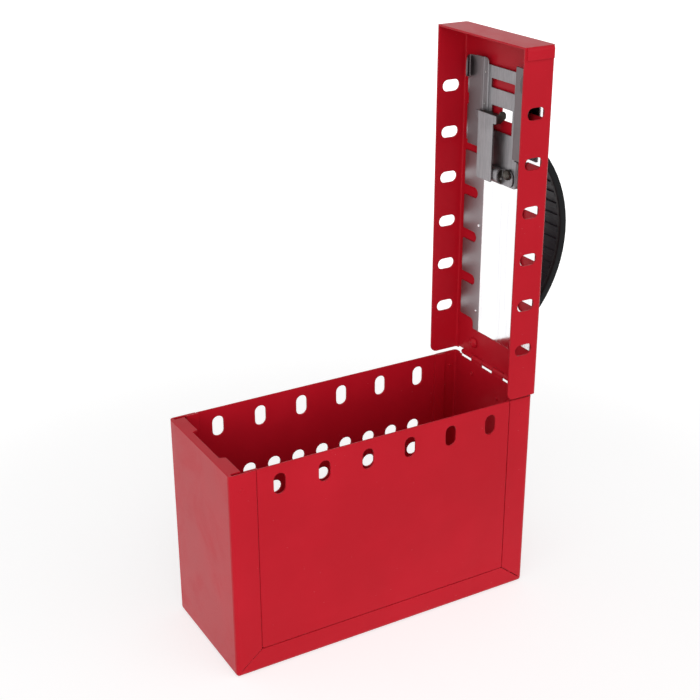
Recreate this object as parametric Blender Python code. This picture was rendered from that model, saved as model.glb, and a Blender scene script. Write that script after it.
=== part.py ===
# Group lockout box with a hinged lid, a sliding latch plate and a press catch.
# Units are metres. X runs along the box with the hinge at +X, the front is -Y, Z is up.
# The box is built with its lid standing open at a right angle.

import math

import bmesh
import bpy
from mathutils import Matrix, Vector

# Sheet, fits and mesh steps
SHEET = 0.0012
FIT_GAP = 0.0003
SEAM_GAP = 0.0004
STEP_RELIEF = 0.0001
OVERRUN = 0.002
WELD = 0.000005
ARC_STEPS = 4
CURL_STEPS = 18
HOLE_SIDES = 16
SWEEP_STEPS = 26
DOME_RINGS = 3
BEND_STEPS = 3

# Box body
BODY_LENGTH = 0.230
BODY_DEPTH = 0.093
BODY_HEIGHT = 0.150
BODY_BEND = 0.0025
HEM_BEND = 0.003
END_STRIP = 0.0185
BOTTOM_STRIP = 0.0165
MITRE_WIDTH = 0.0005
MITRE_END_INSET = 0.0035
MITRE_END_RISE = 0.0042

# Hem along the left rim
HEM_TAB_REACH = 0.0095
HEM_RECESS_REACH = 0.0055
HEM_CORNER_REACH = 0.0025
HEM_TAB_INSET = 0.0035
HEM_TAB_WIDTH = 0.0210
HEM_STEP = 0.0015

# Front and back panels
PANEL_BORDER = 0.0075
PANEL_BOTTOM_BORDER = 0.0085
PANEL_CORNER = 0.0015
PANEL_EDGE = 0.0004

# Hinge, whose axis lies just outside the right wall and above the rim
HINGE_OUT = 0.0011
HINGE_UP = 0.0011
HINGE_X = BODY_LENGTH / 2 + HINGE_OUT
HINGE_Z = BODY_HEIGHT + HINGE_UP
KNUCKLE_RADIUS = 0.0020
BORE_RADIUS = 0.00105
PIN_RADIUS = 0.00075
PIN_HEAD_RADIUS = 0.0014
PIN_HEAD_LENGTH = 0.0008
KNUCKLE_COUNT = 6
KNUCKLE_MARGIN = 0.00825
KNUCKLE_LENGTH = (BODY_DEPTH - 2 * KNUCKLE_MARGIN) / KNUCKLE_COUNT
KNUCKLE_GAP = 0.0002
KNUCKLE_ROOT = 0.0030
SLIT_DEPTH = 0.0022
PIN_END_RELIEF = 0.0008
PIN_END_LENGTH = 0.003

# Lid, measured from the hinge axis: X to the free end, Z to the inner side
LID_REST_GAP = 0.0004
LID_SIDE_GAP = 0.0003
LID_OVERHANG = 0.0076
LID_INNER = HINGE_UP - LID_REST_GAP
LID_HALF_WIDTH = BODY_DEPTH / 2 + LID_SIDE_GAP + SHEET
LID_END = HINGE_X + BODY_LENGTH / 2 + LID_OVERHANG
LID_FLANGE_DEPTH = 0.0231
LID_FLANGE_START = 0.0009
LID_PLATE_START = 0.0024
LID_BEND = 0.0022
LID_FREE_CORNER = 0.0045
END_TAB_LENGTH = 0.008
END_TAB_START = 0.0012
END_TAB_INSET = 0.0013
END_TAB_BEND = 0.0020

# Padlock slots
SLOT_COUNT = 6
SLOT_END_ROOM = 0.034625
SLOT_PITCH = (BODY_LENGTH - 2 * SLOT_END_ROOM) / (SLOT_COUNT - 1)
BODY_SLOT_WIDTH = 0.0085
BODY_SLOT_HEIGHT = 0.015
BODY_SLOT_DROP = 0.0138
LID_SLOT_WIDTH = 0.008
LID_SLOT_DEPTH = 0.0138
LID_SLOT_LEVEL = 0.0121
LID_SLOT_SHIFT = 0.000375
LID_SLOT_FIRST = HINGE_X - SLOT_PITCH * (SLOT_COUNT - 1) / 2 + LID_SLOT_SHIFT
TOP_SLOT_INSET = 0.0070
TOP_SLOT_LENGTH = 0.013

# Round holes in the back panel
GRID_COLUMNS = 9
GRID_ROWS = 4
GRID_END_ROOM = 0.0378
GRID_DROP = 0.0535
GRID_BASE = 0.0386
GRID_HOLE = 0.010
GRID_PITCH = (BODY_LENGTH - 2 * GRID_END_ROOM) / (GRID_COLUMNS - 1)
GRID_STEP = (BODY_HEIGHT - GRID_DROP - GRID_BASE) / (GRID_ROWS - 1)

# Painted studs near the hinge
STUD_X = 0.0119
STUD_INSET = 0.0233
STUD_Y = LID_HALF_WIDTH - STUD_INSET
STUD_RADIUS = 0.0040
STUD_HEIGHT = 0.0024
STUD_SHANK = 0.0015

# Carrying handle
HANDLE_OFFSET = 0.01775
HANDLE_CENTRE_X = LID_END / 2 - HANDLE_OFFSET
HANDLE_SINK = 0.0016
HANDLE_RADIUS = 0.087
HANDLE_THICKNESS = 0.0053
HANDLE_WIDTH = 0.030
HANDLE_EDGE = 0.0011
HANDLE_SPREAD = math.radians(60.2)
HANDLE_CENTRE_Z = HANDLE_RADIUS * math.cos(HANDLE_SPREAD) - HANDLE_SINK
FOOT_LENGTH = 0.0200
FOOT_THICKNESS = 0.0034
FOOT_OVERLAP = 0.0008
FOOT_CORNER = 0.0030
LINER_RIM = 0.0032
LINER_DEPTH = 0.0021
LINER_SPREAD = math.radians(46.0)
LINER_RIBS = 15
RIB_SHARE = 0.42
RIB_HEIGHT = 0.0008
HANDLE_RIVET_Y = 0.0085
HANDLE_RIVET_INSET = 0.0055
HANDLE_RIVET_HEAD = 0.0034
HANDLE_RIVET_DOME = 0.0016
HANDLE_RIVET_SHANK = 0.0017

# Latch carriage, placed by its leading edge
CARRIAGE_GAP = 0.0177
HAT_LENGTH = 0.0825
HAT_FLAT_LENGTH = 0.0210
HAT_PLATE_INSET = 0.0054
HAT_THICKNESS = 0.0010
HAT_FLAT_HALF = 0.0200
HAT_FLAT_CORNER = 0.0040
HAT_WALL_FOOT = 0.0168
HAT_WALL_HEAD = 0.0184
WING_END = LID_END - CARRIAGE_GAP
WING_LENGTH = 0.0618
WING_RISE = 0.0044
WING_BEND = 0.0013
WING_START = WING_END - WING_LENGTH
HAT_START = WING_END - HAT_LENGTH
HAT_FLAT_END = HAT_START + HAT_FLAT_LENGTH
EAR_GAP = 0.0094
EAR_WIDTH = 0.0043
EAR_HALF = LID_HALF_WIDTH - SHEET - EAR_GAP
WING_HALF = EAR_HALF - EAR_WIDTH
EAR_DROP = 0.0010
EAR_LENGTH = 0.0165
EAR_CORNER = 0.0050
EAR_STRETCH_SHARE = 1.6
WINDOW_HIGH_DROP = 0.0137
WINDOW_HIGH_HEIGHT = 0.0062
WINDOW_HIGH_HALF = 0.0130
WINDOW_LOW_DROP = 0.0312
WINDOW_LOW_HEIGHT = 0.0166
WINDOW_LOW_HALF = 0.0116
WINDOW_CORNER = 0.0006

# Slide plate under the carriage
SLIDE_GAP = 0.0004
SLIDE_LOW = LID_INNER + SLIDE_GAP
SLIDE_THICKNESS = 0.0008
SLIDE_SIDE_GAP = 0.0053
SLIDE_HALF_WIDTH = LID_HALF_WIDTH - SHEET - SLIDE_SIDE_GAP
SLIDE_NECK_INSET = 0.0170
SLIDE_CORNER = 0.0015
SLIDE_LAP = 0.0304
SLIDE_FOOT = 0.0129
SLIDE_START = LID_SLOT_FIRST - SLIDE_FOOT
SLIDE_END = HAT_START + SLIDE_LAP
SHOULDER_SLOT = 4
SHOULDER_DROP = 0.0125
SLIDE_SHOULDER = LID_SLOT_FIRST + SLOT_PITCH * SHOULDER_SLOT - SHOULDER_DROP
NOTCH_DEPTH = 0.0160
NOTCH_WIDTH = 0.0077
NOTCH_OFFSET = 0.00865
CORNER_NOTCH_LENGTH = 0.0074
CORNER_NOTCH_ROUND = 0.0035
HAT_LOW = SLIDE_LOW + SLIDE_THICKNESS + FIT_GAP
HAT_TOP = HAT_LOW + HAT_THICKNESS
WING_LEVEL = HAT_LOW + WING_RISE

# Pivot saddle on the carriage
SADDLE_INSET = 0.0005
SADDLE_LENGTH = 0.0110
SADDLE_RISE = 0.0049
SADDLE_SHEET = 0.0008
SADDLE_BEND = 0.0032
SADDLE_START = HAT_START + SADDLE_INSET
SADDLE_END = SADDLE_START + SADDLE_LENGTH
SADDLE_LOW = HAT_TOP + FIT_GAP
SADDLE_HIGH = SADDLE_LOW + SADDLE_RISE
SADDLE_FRONT = -0.0050
SADDLE_BACK = 0.0088
SADDLE_FOOT_LENGTH = 0.0112
SADDLE_FOOT_CORNER = 0.0040
RIVET_RISE = 0.0087
RIVET_X = HAT_START + RIVET_RISE
RIVET_REACH = 0.0061
RIVET_Y = SADDLE_FRONT - RIVET_REACH
RIVET_HEAD = 0.0043
RIVET_DOME = 0.0020
RIVET_SHANK = 0.0016

# Catch pin, spring and tongue
PIVOT_RISE = 0.0049
PIVOT_HEIGHT = 0.0024
PIVOT_X = HAT_START + PIVOT_RISE
PIVOT_Z = HAT_TOP + PIVOT_HEIGHT
CATCH_PIN_RADIUS = 0.0008
CATCH_PIN_OUT = 0.0008
CATCH_PIN_BACK = 0.0158
CATCH_BORE = 0.0011
SPRING_RADIUS = 0.0015
SPRING_WIRE = 0.00028
SPRING_TURNS = 5
SPRING_INSET = 0.0020
SPRING_LENGTH = 0.0090
SPRING_STEPS = 10
SPRING_SIDES = 5
TONGUE_LOW = SADDLE_HIGH + FIT_GAP
TONGUE_SHEET = 0.0009
TONGUE_INSET = 0.0014
TONGUE_NECK = 0.0401
TONGUE_HEAD = 0.0053
TONGUE_START = HAT_START + TONGUE_INSET
TONGUE_NECK_END = TONGUE_START + TONGUE_NECK
TONGUE_END = TONGUE_NECK_END + TONGUE_HEAD
TONGUE_FRONT = 0.0008
TONGUE_BACK = 0.0175
TONGUE_TAB = 0.0033
TONGUE_FLARE = 0.0046
TONGUE_CORNER = 0.0006
SHELF_INSET = 0.0004
SHELF_WIDTH = 0.0096
SHELF_GAP = 0.0005
NUB_ROUND = 0.0030
EYE_GAP = 0.0004
EYE_LENGTH = 0.0053
EYE_RADIUS = 0.0020

# Window in the lid behind the catch
TAB_HOLE_DROP = 0.0046
TAB_HOLE_LENGTH = 0.0183
TAB_HOLE_LOW = TONGUE_END - TAB_HOLE_DROP
TAB_HOLE_FRONT = -0.0135
TAB_HOLE_BACK = 0.0040
TAB_HOLE_CORNER = 0.0015

RED = (0.62, 0.012, 0.024, 1.0)
BLACK = (0.012, 0.014, 0.020, 1.0)
STEEL = (0.62, 0.62, 0.64, 1.0)
ZINC = (0.45, 0.44, 0.42, 1.0)


def clear_scene():
    for item in list(bpy.data.objects):
        bpy.data.objects.remove(item)


def material(name, colour, roughness, metallic):
    made = bpy.data.materials.new(name)
    made.use_nodes = True
    shader = made.node_tree.nodes["Principled BSDF"]
    shader.inputs["Base Color"].default_value = colour
    shader.inputs["Roughness"].default_value = roughness
    shader.inputs["Metallic"].default_value = metallic
    return made


def empty(name, place, parent=None):
    made = bpy.data.objects.new(name, None)
    bpy.context.scene.collection.objects.link(made)
    made.location = place
    made.parent = parent
    return made


def mesh_object(name, bm):
    bmesh.ops.recalc_face_normals(bm, faces=bm.faces)
    mesh = bpy.data.meshes.new(name)
    bm.to_mesh(mesh)
    bm.free()
    made = bpy.data.objects.new(name, mesh)
    bpy.context.scene.collection.objects.link(made)
    return made


# Outlines in a plane
def arc(centre, radius, start, stop, steps):
    points = []
    for index in range(steps + 1):
        angle = start + (stop - start) * index / steps
        points.append((centre[0] + radius * math.cos(angle), centre[1] + radius * math.sin(angle)))
    return points


def rounded(corners, radii, steps=ARC_STEPS):
    # Replace each corner by an arc of its own radius.
    points = []
    count = len(corners)
    for index, corner in enumerate(corners):
        radius = radii[index] if isinstance(radii, (list, tuple)) else radii
        here = Vector(corner)
        to_last = (Vector(corners[index - 1]) - here).normalized()
        to_next = (Vector(corners[(index + 1) % count]) - here).normalized()
        if radius <= 0:
            points.append(tuple(here))
            continue
        half = to_last.angle(to_next) / 2
        centre = here + (to_last + to_next).normalized() * (radius / math.sin(half))
        first = here + to_last * (radius / math.tan(half)) - centre
        last = here + to_next * (radius / math.tan(half)) - centre
        begin = math.atan2(first.y, first.x)
        sweep = math.atan2(last.y, last.x) - begin
        sweep = (sweep + math.pi) % (2 * math.pi) - math.pi
        points += arc(centre, radius, begin, begin + sweep, steps)
    return points


def rectangle(low, high, radius=0):
    corners = [(low[0], low[1]), (high[0], low[1]), (high[0], high[1]), (low[0], high[1])]
    return rounded(corners, radius)


def obround(centre, half_u, half_v):
    low = (centre[0] - half_u, centre[1] - half_v)
    high = (centre[0] + half_u, centre[1] + half_v)
    return rectangle(low, high, min(half_u, half_v) - STEP_RELIEF / 2)


def circle(centre, radius, sides=HOLE_SIDES):
    return arc(centre, radius, 0, 2 * math.pi, sides)[:-1]


def bent_path(corners, radius, steps=BEND_STEPS):
    # Round the inner corners of an open line.
    radii = [0] + [radius] * (len(corners) - 2) + [0]
    return rounded(corners, radii, steps)


def ribbon(path, thickness):
    # Outline of a sheet whose middle follows the path.
    count = len(path)
    sides = ([], [])
    for index in range(count):
        here = Vector(path[index])
        before = (here - Vector(path[max(index - 1, 0)]))
        after = (Vector(path[min(index + 1, count - 1)]) - here)
        before = before.normalized() if before.length > 0 else after.normalized()
        after = after.normalized() if after.length > 0 else before.normalized()
        along = (before + after).normalized()
        reach = thickness / 2 / max(along.dot(before), RIB_SHARE)
        across = Vector((-along.y, along.x)) * reach
        sides[0].append(tuple(here + across))
        sides[1].append(tuple(here - across))
    return sides[0] + sides[1][::-1]


# Solids
def add_prism(bm, outline, axis, low, high):
    def place(point, along):
        if axis == 'X':
            return (along, point[0], point[1])
        if axis == 'Y':
            return (point[0], along, point[1])
        return (point[0], point[1], along)
    bottom = [bm.verts.new(place(point, low)) for point in outline]
    top = [bm.verts.new(place(point, high)) for point in outline]
    bm.faces.new(bottom)
    bm.faces.new(top[::-1])
    count = len(outline)
    for index in range(count):
        after = (index + 1) % count
        bm.faces.new((bottom[index], top[index], top[after], bottom[after]))


def prism(name, outlines, axis, low, high):
    bm = bmesh.new()
    for outline in outlines:
        add_prism(bm, outline, axis, low, high)
    return mesh_object(name, bm)


def block(name, low, high):
    return prism(name, [rectangle(low[:2], high[:2])], 'Z', low[2], high[2])


def soft_block(name, low, high, bends):
    # A box whose chosen edges are bent; each bend is a test on the edge middle and a radius.
    bm = bmesh.new()
    add_prism(bm, rectangle(low[:2], high[:2]), 'Z', low[2], high[2])
    for chooser, radius in bends:
        chosen = [edge for edge in bm.edges if chooser((edge.verts[0].co + edge.verts[1].co) / 2)]
        bmesh.ops.bevel(bm, geom=chosen, offset=radius, segments=BEND_STEPS, profile=0.5,
                        affect='EDGES', clamp_overlap=True)
    return mesh_object(name, bm)


def dome(bm, centre, radius, height, base, up):
    # A low cap on a short rim, turned about its own middle.
    start = [bm.verts.new((x, y, base)) for x, y in circle(centre, radius)]
    bm.faces.new(start)
    last = start
    rim = height * RIB_SHARE / 2
    for index in range(DOME_RINGS):
        angle = math.pi / 2 * index / DOME_RINGS
        ring_radius = radius * math.cos(angle)
        level = base + up * (rim + (height - rim) * math.sin(angle))
        ring = [bm.verts.new((x, y, level)) for x, y in circle(centre, ring_radius)]
        for side in range(HOLE_SIDES):
            after = (side + 1) % HOLE_SIDES
            bm.faces.new((last[side], last[after], ring[after], ring[side]))
        last = ring
    bm.faces.new(last[::-1])


def rivet(name, centre, head, height, base, up, shank, shank_end):
    bm = bmesh.new()
    dome(bm, centre, head, height, base, up)
    body = mesh_object(name, bm)
    low = min(shank_end, base + up * height / 2)
    high = max(shank_end, base + up * height / 2)
    combine(body, prism("shank", [circle(centre, shank)], 'Z', low, high), 'UNION')
    return body


def combine(target, tool, operation):
    modifier = target.modifiers.new("shape", 'BOOLEAN')
    modifier.operation = operation
    modifier.solver = 'EXACT'
    modifier.object = tool
    bpy.context.view_layer.update()
    graph = bpy.context.evaluated_depsgraph_get()
    mesh = bpy.data.meshes.new_from_object(target.evaluated_get(graph))
    target.modifiers.clear()
    target.data = mesh
    bpy.data.objects.remove(tool)
    tidy(target)


def tidy(target):
    bm = bmesh.new()
    bm.from_mesh(target.data)
    bmesh.ops.remove_doubles(bm, verts=bm.verts, dist=WELD)
    bmesh.ops.dissolve_degenerate(bm, edges=bm.edges, dist=WELD)
    bm.to_mesh(target.data)
    bm.free()


def finish(target, name, look, parent=None, shift=(0, 0, 0)):
    target.name = name
    target.data.name = name
    target.data.materials.clear()
    target.data.materials.append(look)
    target.data.transform(Matrix.Translation(-Vector(shift)))
    target.parent = parent
    return target


# Box body
def knuckle_spans(on_lid):
    spans = []
    for index in range(KNUCKLE_COUNT):
        if (index % 2 == 0) != on_lid:
            continue
        high = KNUCKLE_LENGTH * (KNUCKLE_COUNT / 2 - index)
        spans.append((high - KNUCKLE_LENGTH, high))
    return spans


def wrapper_shell():
    half_x = BODY_LENGTH / 2
    half_y = BODY_DEPTH / 2
    bends = [
        (lambda mid: mid.z < BODY_HEIGHT - OVERRUN, BODY_BEND),
        (lambda mid: mid.z > BODY_HEIGHT - WELD and mid.x < -half_x + WELD, HEM_BEND),
    ]
    shell = soft_block("wrapper_shell", (-half_x, -half_y, 0), (half_x, half_y, BODY_HEIGHT), bends)
    low = (SHEET - half_x, SHEET - half_y, SHEET)
    high = (half_x - SHEET, half_y - SHEET, BODY_HEIGHT - SHEET)
    inner_bends = [
        (lambda mid: mid.z < high[2] - OVERRUN, BODY_BEND - SHEET),
        (lambda mid: mid.z > high[2] - WELD and mid.x < low[0] + WELD, HEM_BEND - SHEET),
    ]
    combine(shell, soft_block("hollow", low, high, inner_bends), 'DIFFERENCE')
    combine(shell, rim_opening(), 'DIFFERENCE')
    combine(shell, panel_windows(), 'DIFFERENCE')
    combine(shell, mitre_slits(), 'DIFFERENCE')
    combine(shell, knuckle_slits(), 'DIFFERENCE')
    for sign in (-1, 1):
        combine(shell, pin_end_relief(sign), 'DIFFERENCE')
    for low_y, high_y in knuckle_spans(False):
        combine(shell, body_knuckle(low_y, high_y), 'UNION')
    combine(shell, hinge_bore(), 'DIFFERENCE')
    return shell


def rim_opening():
    side = BODY_DEPTH / 2 - SHEET + STEP_RELIEF
    right = BODY_LENGTH / 2 - SHEET + STEP_RELIEF
    left = -BODY_LENGTH / 2
    tab_outer = BODY_DEPTH / 2 - HEM_TAB_INSET
    tab_inner = tab_outer - HEM_TAB_WIDTH
    half = [
        (left + HEM_CORNER_REACH, side),
        (left + HEM_CORNER_REACH, tab_outer),
        (left + HEM_TAB_REACH, tab_outer),
        (left + HEM_TAB_REACH, tab_inner),
        (left + HEM_RECESS_REACH, tab_inner - HEM_STEP),
    ]
    mirrored = [(x, -y) for x, y in reversed(half)]
    corners = [(right, -side), (right, side)] + half + mirrored
    radii = [BODY_BEND - SHEET] * 2 + [0, 0] + [SEAM_GAP] * 6 + [0, 0]
    low = BODY_HEIGHT - SHEET - STEP_RELIEF
    return prism("opening", [rounded(corners, radii)], 'Z', low, BODY_HEIGHT + OVERRUN)


def panel_windows():
    reach = BODY_LENGTH / 2 - END_STRIP
    outline = rectangle((-reach, BOTTOM_STRIP), (reach, BODY_HEIGHT + OVERRUN))
    side = BODY_DEPTH / 2 + OVERRUN
    return prism("windows", [outline], 'Y', -side, side)


def mitre_slits():
    mitre_end_x = BODY_LENGTH / 2 - MITRE_END_INSET
    start_x = BODY_LENGTH / 2 - END_STRIP - SEAM_GAP
    start_z = BOTTOM_STRIP + SEAM_GAP
    run = Vector((mitre_end_x - start_x, MITRE_END_RISE - start_z)).normalized()
    across = Vector((-run.y, run.x)) * (MITRE_WIDTH / 2)
    outlines = []
    for sign in (-1, 1):
        corners = [
            (start_x + across.x, start_z + across.y),
            (mitre_end_x + across.x, MITRE_END_RISE + across.y),
            (mitre_end_x - across.x, MITRE_END_RISE - across.y),
            (start_x - across.x, start_z - across.y),
        ]
        outlines.append([(sign * x, z) for x, z in corners])
    side = BODY_DEPTH / 2 + OVERRUN
    return prism("slits", outlines, 'Y', -side, side)


def knuckle_slits():
    low_x = BODY_LENGTH / 2 - SHEET - OVERRUN
    high_x = BODY_LENGTH / 2 + OVERRUN
    bm = bmesh.new()
    for low_y, high_y in knuckle_spans(True):
        outline = rectangle((low_x, low_y - KNUCKLE_GAP), (high_x, high_y + KNUCKLE_GAP))
        add_prism(bm, outline, 'Z', BODY_HEIGHT - SLIT_DEPTH, BODY_HEIGHT + OVERRUN)
    return mesh_object("slits", bm)


def pin_end_relief(sign):
    # Lower the wall a little where the heads of the hinge pin stand over it.
    edge = KNUCKLE_LENGTH * KNUCKLE_COUNT / 2
    low_x = BODY_LENGTH / 2 - SHEET - OVERRUN
    high_x = BODY_LENGTH / 2 + OVERRUN
    ends = sorted((sign * edge, sign * (edge + PIN_END_LENGTH)))
    outline = rectangle((low_x, ends[0]), (high_x, ends[1]))
    return prism("relief", [outline], 'Z', BODY_HEIGHT - PIN_END_RELIEF, BODY_HEIGHT + OVERRUN)


def body_knuckle(low_y, high_y):
    inner = BODY_LENGTH / 2 - SHEET + STEP_RELIEF
    outer = BODY_LENGTH / 2 - STEP_RELIEF
    root = BODY_HEIGHT - SLIT_DEPTH - KNUCKLE_ROOT
    start = -math.acos((outer - HINGE_X) / KNUCKLE_RADIUS)
    curl = arc((HINGE_X, HINGE_Z), KNUCKLE_RADIUS, start, math.pi, CURL_STEPS)
    outline = [(inner, root), (outer, root)] + curl + [(inner, HINGE_Z - STEP_RELIEF)]
    return prism("knuckle", [outline], 'Y', low_y + KNUCKLE_GAP, high_y - KNUCKLE_GAP)


def hinge_bore():
    reach = KNUCKLE_LENGTH * KNUCKLE_COUNT / 2 + OVERRUN
    return prism("bore", [circle((HINGE_X, HINGE_Z), BORE_RADIUS)], 'Y', -reach, reach)


def slot_positions():
    first = -SLOT_PITCH * (SLOT_COUNT - 1) / 2
    return [first + SLOT_PITCH * index for index in range(SLOT_COUNT)]


def panel(name, side, with_grid):
    # Flush sheet with a joggled border; side is -1 at the front and 1 at the back.
    outer = side * BODY_DEPTH / 2
    inner = side * (BODY_DEPTH / 2 - SHEET - FIT_GAP)
    deep = side * (BODY_DEPTH / 2 - SHEET - FIT_GAP - SHEET)
    flush = BODY_LENGTH / 2 - END_STRIP - SEAM_GAP
    base = BOTTOM_STRIP + SEAM_GAP
    face = prism(name, [panel_outline(flush, base)], 'Y', outer, deep)
    bm = bmesh.new()
    bm.from_mesh(face.data)
    rim = [edge for edge in bm.edges if all(abs(vert.co.y - outer) < WELD for vert in edge.verts)]
    bmesh.ops.bevel(bm, geom=rim, offset=PANEL_EDGE, segments=2, profile=0.5, affect='EDGES')
    bm.to_mesh(face.data)
    bm.free()
    border = panel_outline(flush + PANEL_BORDER, base - PANEL_BOTTOM_BORDER)
    combine(face, prism("border", [border], 'Y', inner, deep), 'UNION')
    pocket = panel_outline(flush - SHEET, base + SHEET, BODY_HEIGHT + OVERRUN)
    low_y = side * (BODY_DEPTH / 2 - SHEET)
    combine(face, prism("pocket", [pocket], 'Y', low_y, deep - side * OVERRUN), 'DIFFERENCE')
    half_w = BODY_SLOT_WIDTH / 2
    half_h = BODY_SLOT_HEIGHT / 2
    level = BODY_HEIGHT - BODY_SLOT_DROP
    outlines = [obround((x, level), half_w, half_h) for x in slot_positions()]
    if with_grid:
        outlines += grid_holes()
    reach = side * OVERRUN
    combine(face, prism("slots", outlines, 'Y', deep - reach, outer + reach), 'DIFFERENCE')
    return face


def panel_outline(reach, base, top=BODY_HEIGHT):
    corners = [(-reach, base), (reach, base), (reach, top), (-reach, top)]
    return rounded(corners, [PANEL_CORNER, PANEL_CORNER, 0, 0])


def grid_holes():
    outlines = []
    for row in range(GRID_ROWS):
        for column in range(GRID_COLUMNS):
            x = GRID_PITCH * (column - (GRID_COLUMNS - 1) / 2)
            z = BODY_HEIGHT - GRID_DROP - GRID_STEP * row
            outlines.append(circle((x, z), GRID_HOLE / 2))
    return outlines


def hinge_pin():
    reach = KNUCKLE_LENGTH * KNUCKLE_COUNT / 2 + FIT_GAP
    centre = (HINGE_X, HINGE_Z)
    pin = prism("hinge_pin", [circle(centre, PIN_RADIUS)], 'Y', -reach, reach)
    for sign in (-1, 1):
        tip = sign * (reach + PIN_HEAD_LENGTH)
        root = sign * (reach - STEP_RELIEF)
        head = prism("head", [circle(centre, PIN_HEAD_RADIUS)], 'Y', min(root, tip), max(root, tip))
        combine(pin, head, 'UNION')
    return pin


# Lid
def lid_tray():
    outer = LID_INNER - SHEET
    half = LID_HALF_WIDTH
    bends = [
        (lambda mid: mid.z < outer + WELD and abs(mid.y) > half - WELD, LID_BEND),
        (lambda mid: mid.z < outer + WELD and mid.x > LID_END - WELD, LID_BEND),
    ]
    tray = soft_block("lid_tray", (LID_FLANGE_START, -half, outer), (LID_END, half, LID_FLANGE_DEPTH), bends)
    combine(tray, end_block(), 'UNION')
    combine(tray, lid_hollow(), 'DIFFERENCE')
    combine(tray, lid_trims(), 'DIFFERENCE')
    for low_y, high_y in knuckle_spans(True):
        combine(tray, lid_knuckle(low_y, high_y), 'UNION')
    reach = KNUCKLE_LENGTH * KNUCKLE_COUNT / 2 + OVERRUN
    combine(tray, prism("bore", [circle((0, 0), BORE_RADIUS)], 'Y', -reach, reach), 'DIFFERENCE')
    combine(tray, lid_side_slots(), 'DIFFERENCE')
    combine(tray, lid_plate_holes(), 'DIFFERENCE')
    combine(tray, lid_window(), 'DIFFERENCE')
    return tray


def end_block():
    side = LID_HALF_WIDTH + SHEET
    low = (LID_END - END_TAB_LENGTH, -side, END_TAB_START)
    high = (LID_END - STEP_RELIEF, side, LID_FLANGE_DEPTH - END_TAB_INSET)
    bends = [(lambda mid: mid.x > high[0] - WELD and abs(mid.y) > side - WELD, END_TAB_BEND)]
    return soft_block("tabs", low, high, bends)


def lid_hollow():
    side = LID_HALF_WIDTH - SHEET
    low = (-OVERRUN, -side, LID_INNER)
    high = (LID_END - SHEET, side, LID_FLANGE_DEPTH + OVERRUN)
    inner = LID_BEND - SHEET
    bends = [
        (lambda mid: mid.z < low[2] + WELD and abs(mid.y) > side - WELD, inner),
        (lambda mid: mid.z < low[2] + WELD and mid.x > high[0] - WELD, inner),
    ]
    return soft_block("hollow", low, high, bends)


def lid_trims():
    # Square off the plate at the hinge and round the free corners of the side flanges.
    bm = bmesh.new()
    side = LID_HALF_WIDTH - SHEET - LID_BEND
    plate = rectangle((-OVERRUN, -side), (LID_PLATE_START, side))
    add_prism(bm, plate, 'Z', LID_INNER - SHEET - OVERRUN, LID_INNER + OVERRUN)
    centre = (LID_FLANGE_START + LID_FREE_CORNER, LID_FLANGE_DEPTH - LID_FREE_CORNER)
    curve = arc(centre, LID_FREE_CORNER, math.pi, math.pi / 2, ARC_STEPS)
    far = [(LID_FLANGE_START + LID_FREE_CORNER, LID_FLANGE_DEPTH + OVERRUN)]
    far.append((LID_FLANGE_START - OVERRUN, LID_FLANGE_DEPTH + OVERRUN))
    far.append((LID_FLANGE_START - OVERRUN, centre[1]))
    reach = LID_HALF_WIDTH + OVERRUN
    add_prism(bm, curve + far, 'Y', -reach, reach)
    return mesh_object("trims", bm)


def lid_knuckle(low_y, high_y):
    outer = LID_INNER - SHEET + STEP_RELIEF
    inner = LID_INNER - STEP_RELIEF
    begin = 2 * math.pi + math.asin(outer / KNUCKLE_RADIUS)
    end = math.asin(inner / KNUCKLE_RADIUS)
    curl = arc((0, 0), KNUCKLE_RADIUS, begin, end, CURL_STEPS)
    root = LID_PLATE_START + KNUCKLE_ROOT
    outline = [(root, inner), (root, outer)] + curl
    return prism("knuckle", [outline], 'Y', low_y + KNUCKLE_GAP, high_y - KNUCKLE_GAP)


def lid_slot_positions():
    return [LID_SLOT_FIRST + SLOT_PITCH * index for index in range(SLOT_COUNT)]


def lid_side_slots():
    outlines = []
    for x in lid_slot_positions():
        outlines.append(obround((x, LID_SLOT_LEVEL), LID_SLOT_WIDTH / 2, LID_SLOT_DEPTH / 2))
    reach = LID_HALF_WIDTH + SHEET + OVERRUN
    return prism("side_slots", outlines, 'Y', -reach, reach)


def lid_plate_holes():
    outlines = []
    half = TOP_SLOT_LENGTH / 2
    middle = LID_HALF_WIDTH - TOP_SLOT_INSET - half
    for x in lid_slot_positions():
        for sign in (-1, 1):
            outlines.append(obround((x, sign * middle), LID_SLOT_WIDTH / 2, half))
    for x, y in handle_rivet_places():
        outlines.append(circle((x, y), HANDLE_RIVET_SHANK + FIT_GAP))
    for sign in (-1, 1):
        outlines.append(circle((STUD_X, sign * STUD_Y), STUD_SHANK + FIT_GAP))
    return prism("holes", outlines, 'Z', LID_INNER - SHEET - OVERRUN, LID_INNER + OVERRUN)


def lid_window():
    # The opening in the lid behind the catch, cut by itself as it may lie near a rivet.
    low = (TAB_HOLE_LOW, TAB_HOLE_FRONT)
    high = (TAB_HOLE_LOW + TAB_HOLE_LENGTH, TAB_HOLE_BACK)
    outline = rectangle(low, high, TAB_HOLE_CORNER)
    return prism("window", [outline], 'Z', LID_INNER - SHEET - OVERRUN, LID_INNER + OVERRUN)


def lid_stud(sign):
    base = LID_INNER + FIT_GAP
    place = (STUD_X, sign * STUD_Y)
    end = LID_INNER - SHEET
    return rivet("lid_stud", place, STUD_RADIUS, STUD_HEIGHT, base, 1, STUD_SHANK, end)


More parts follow.
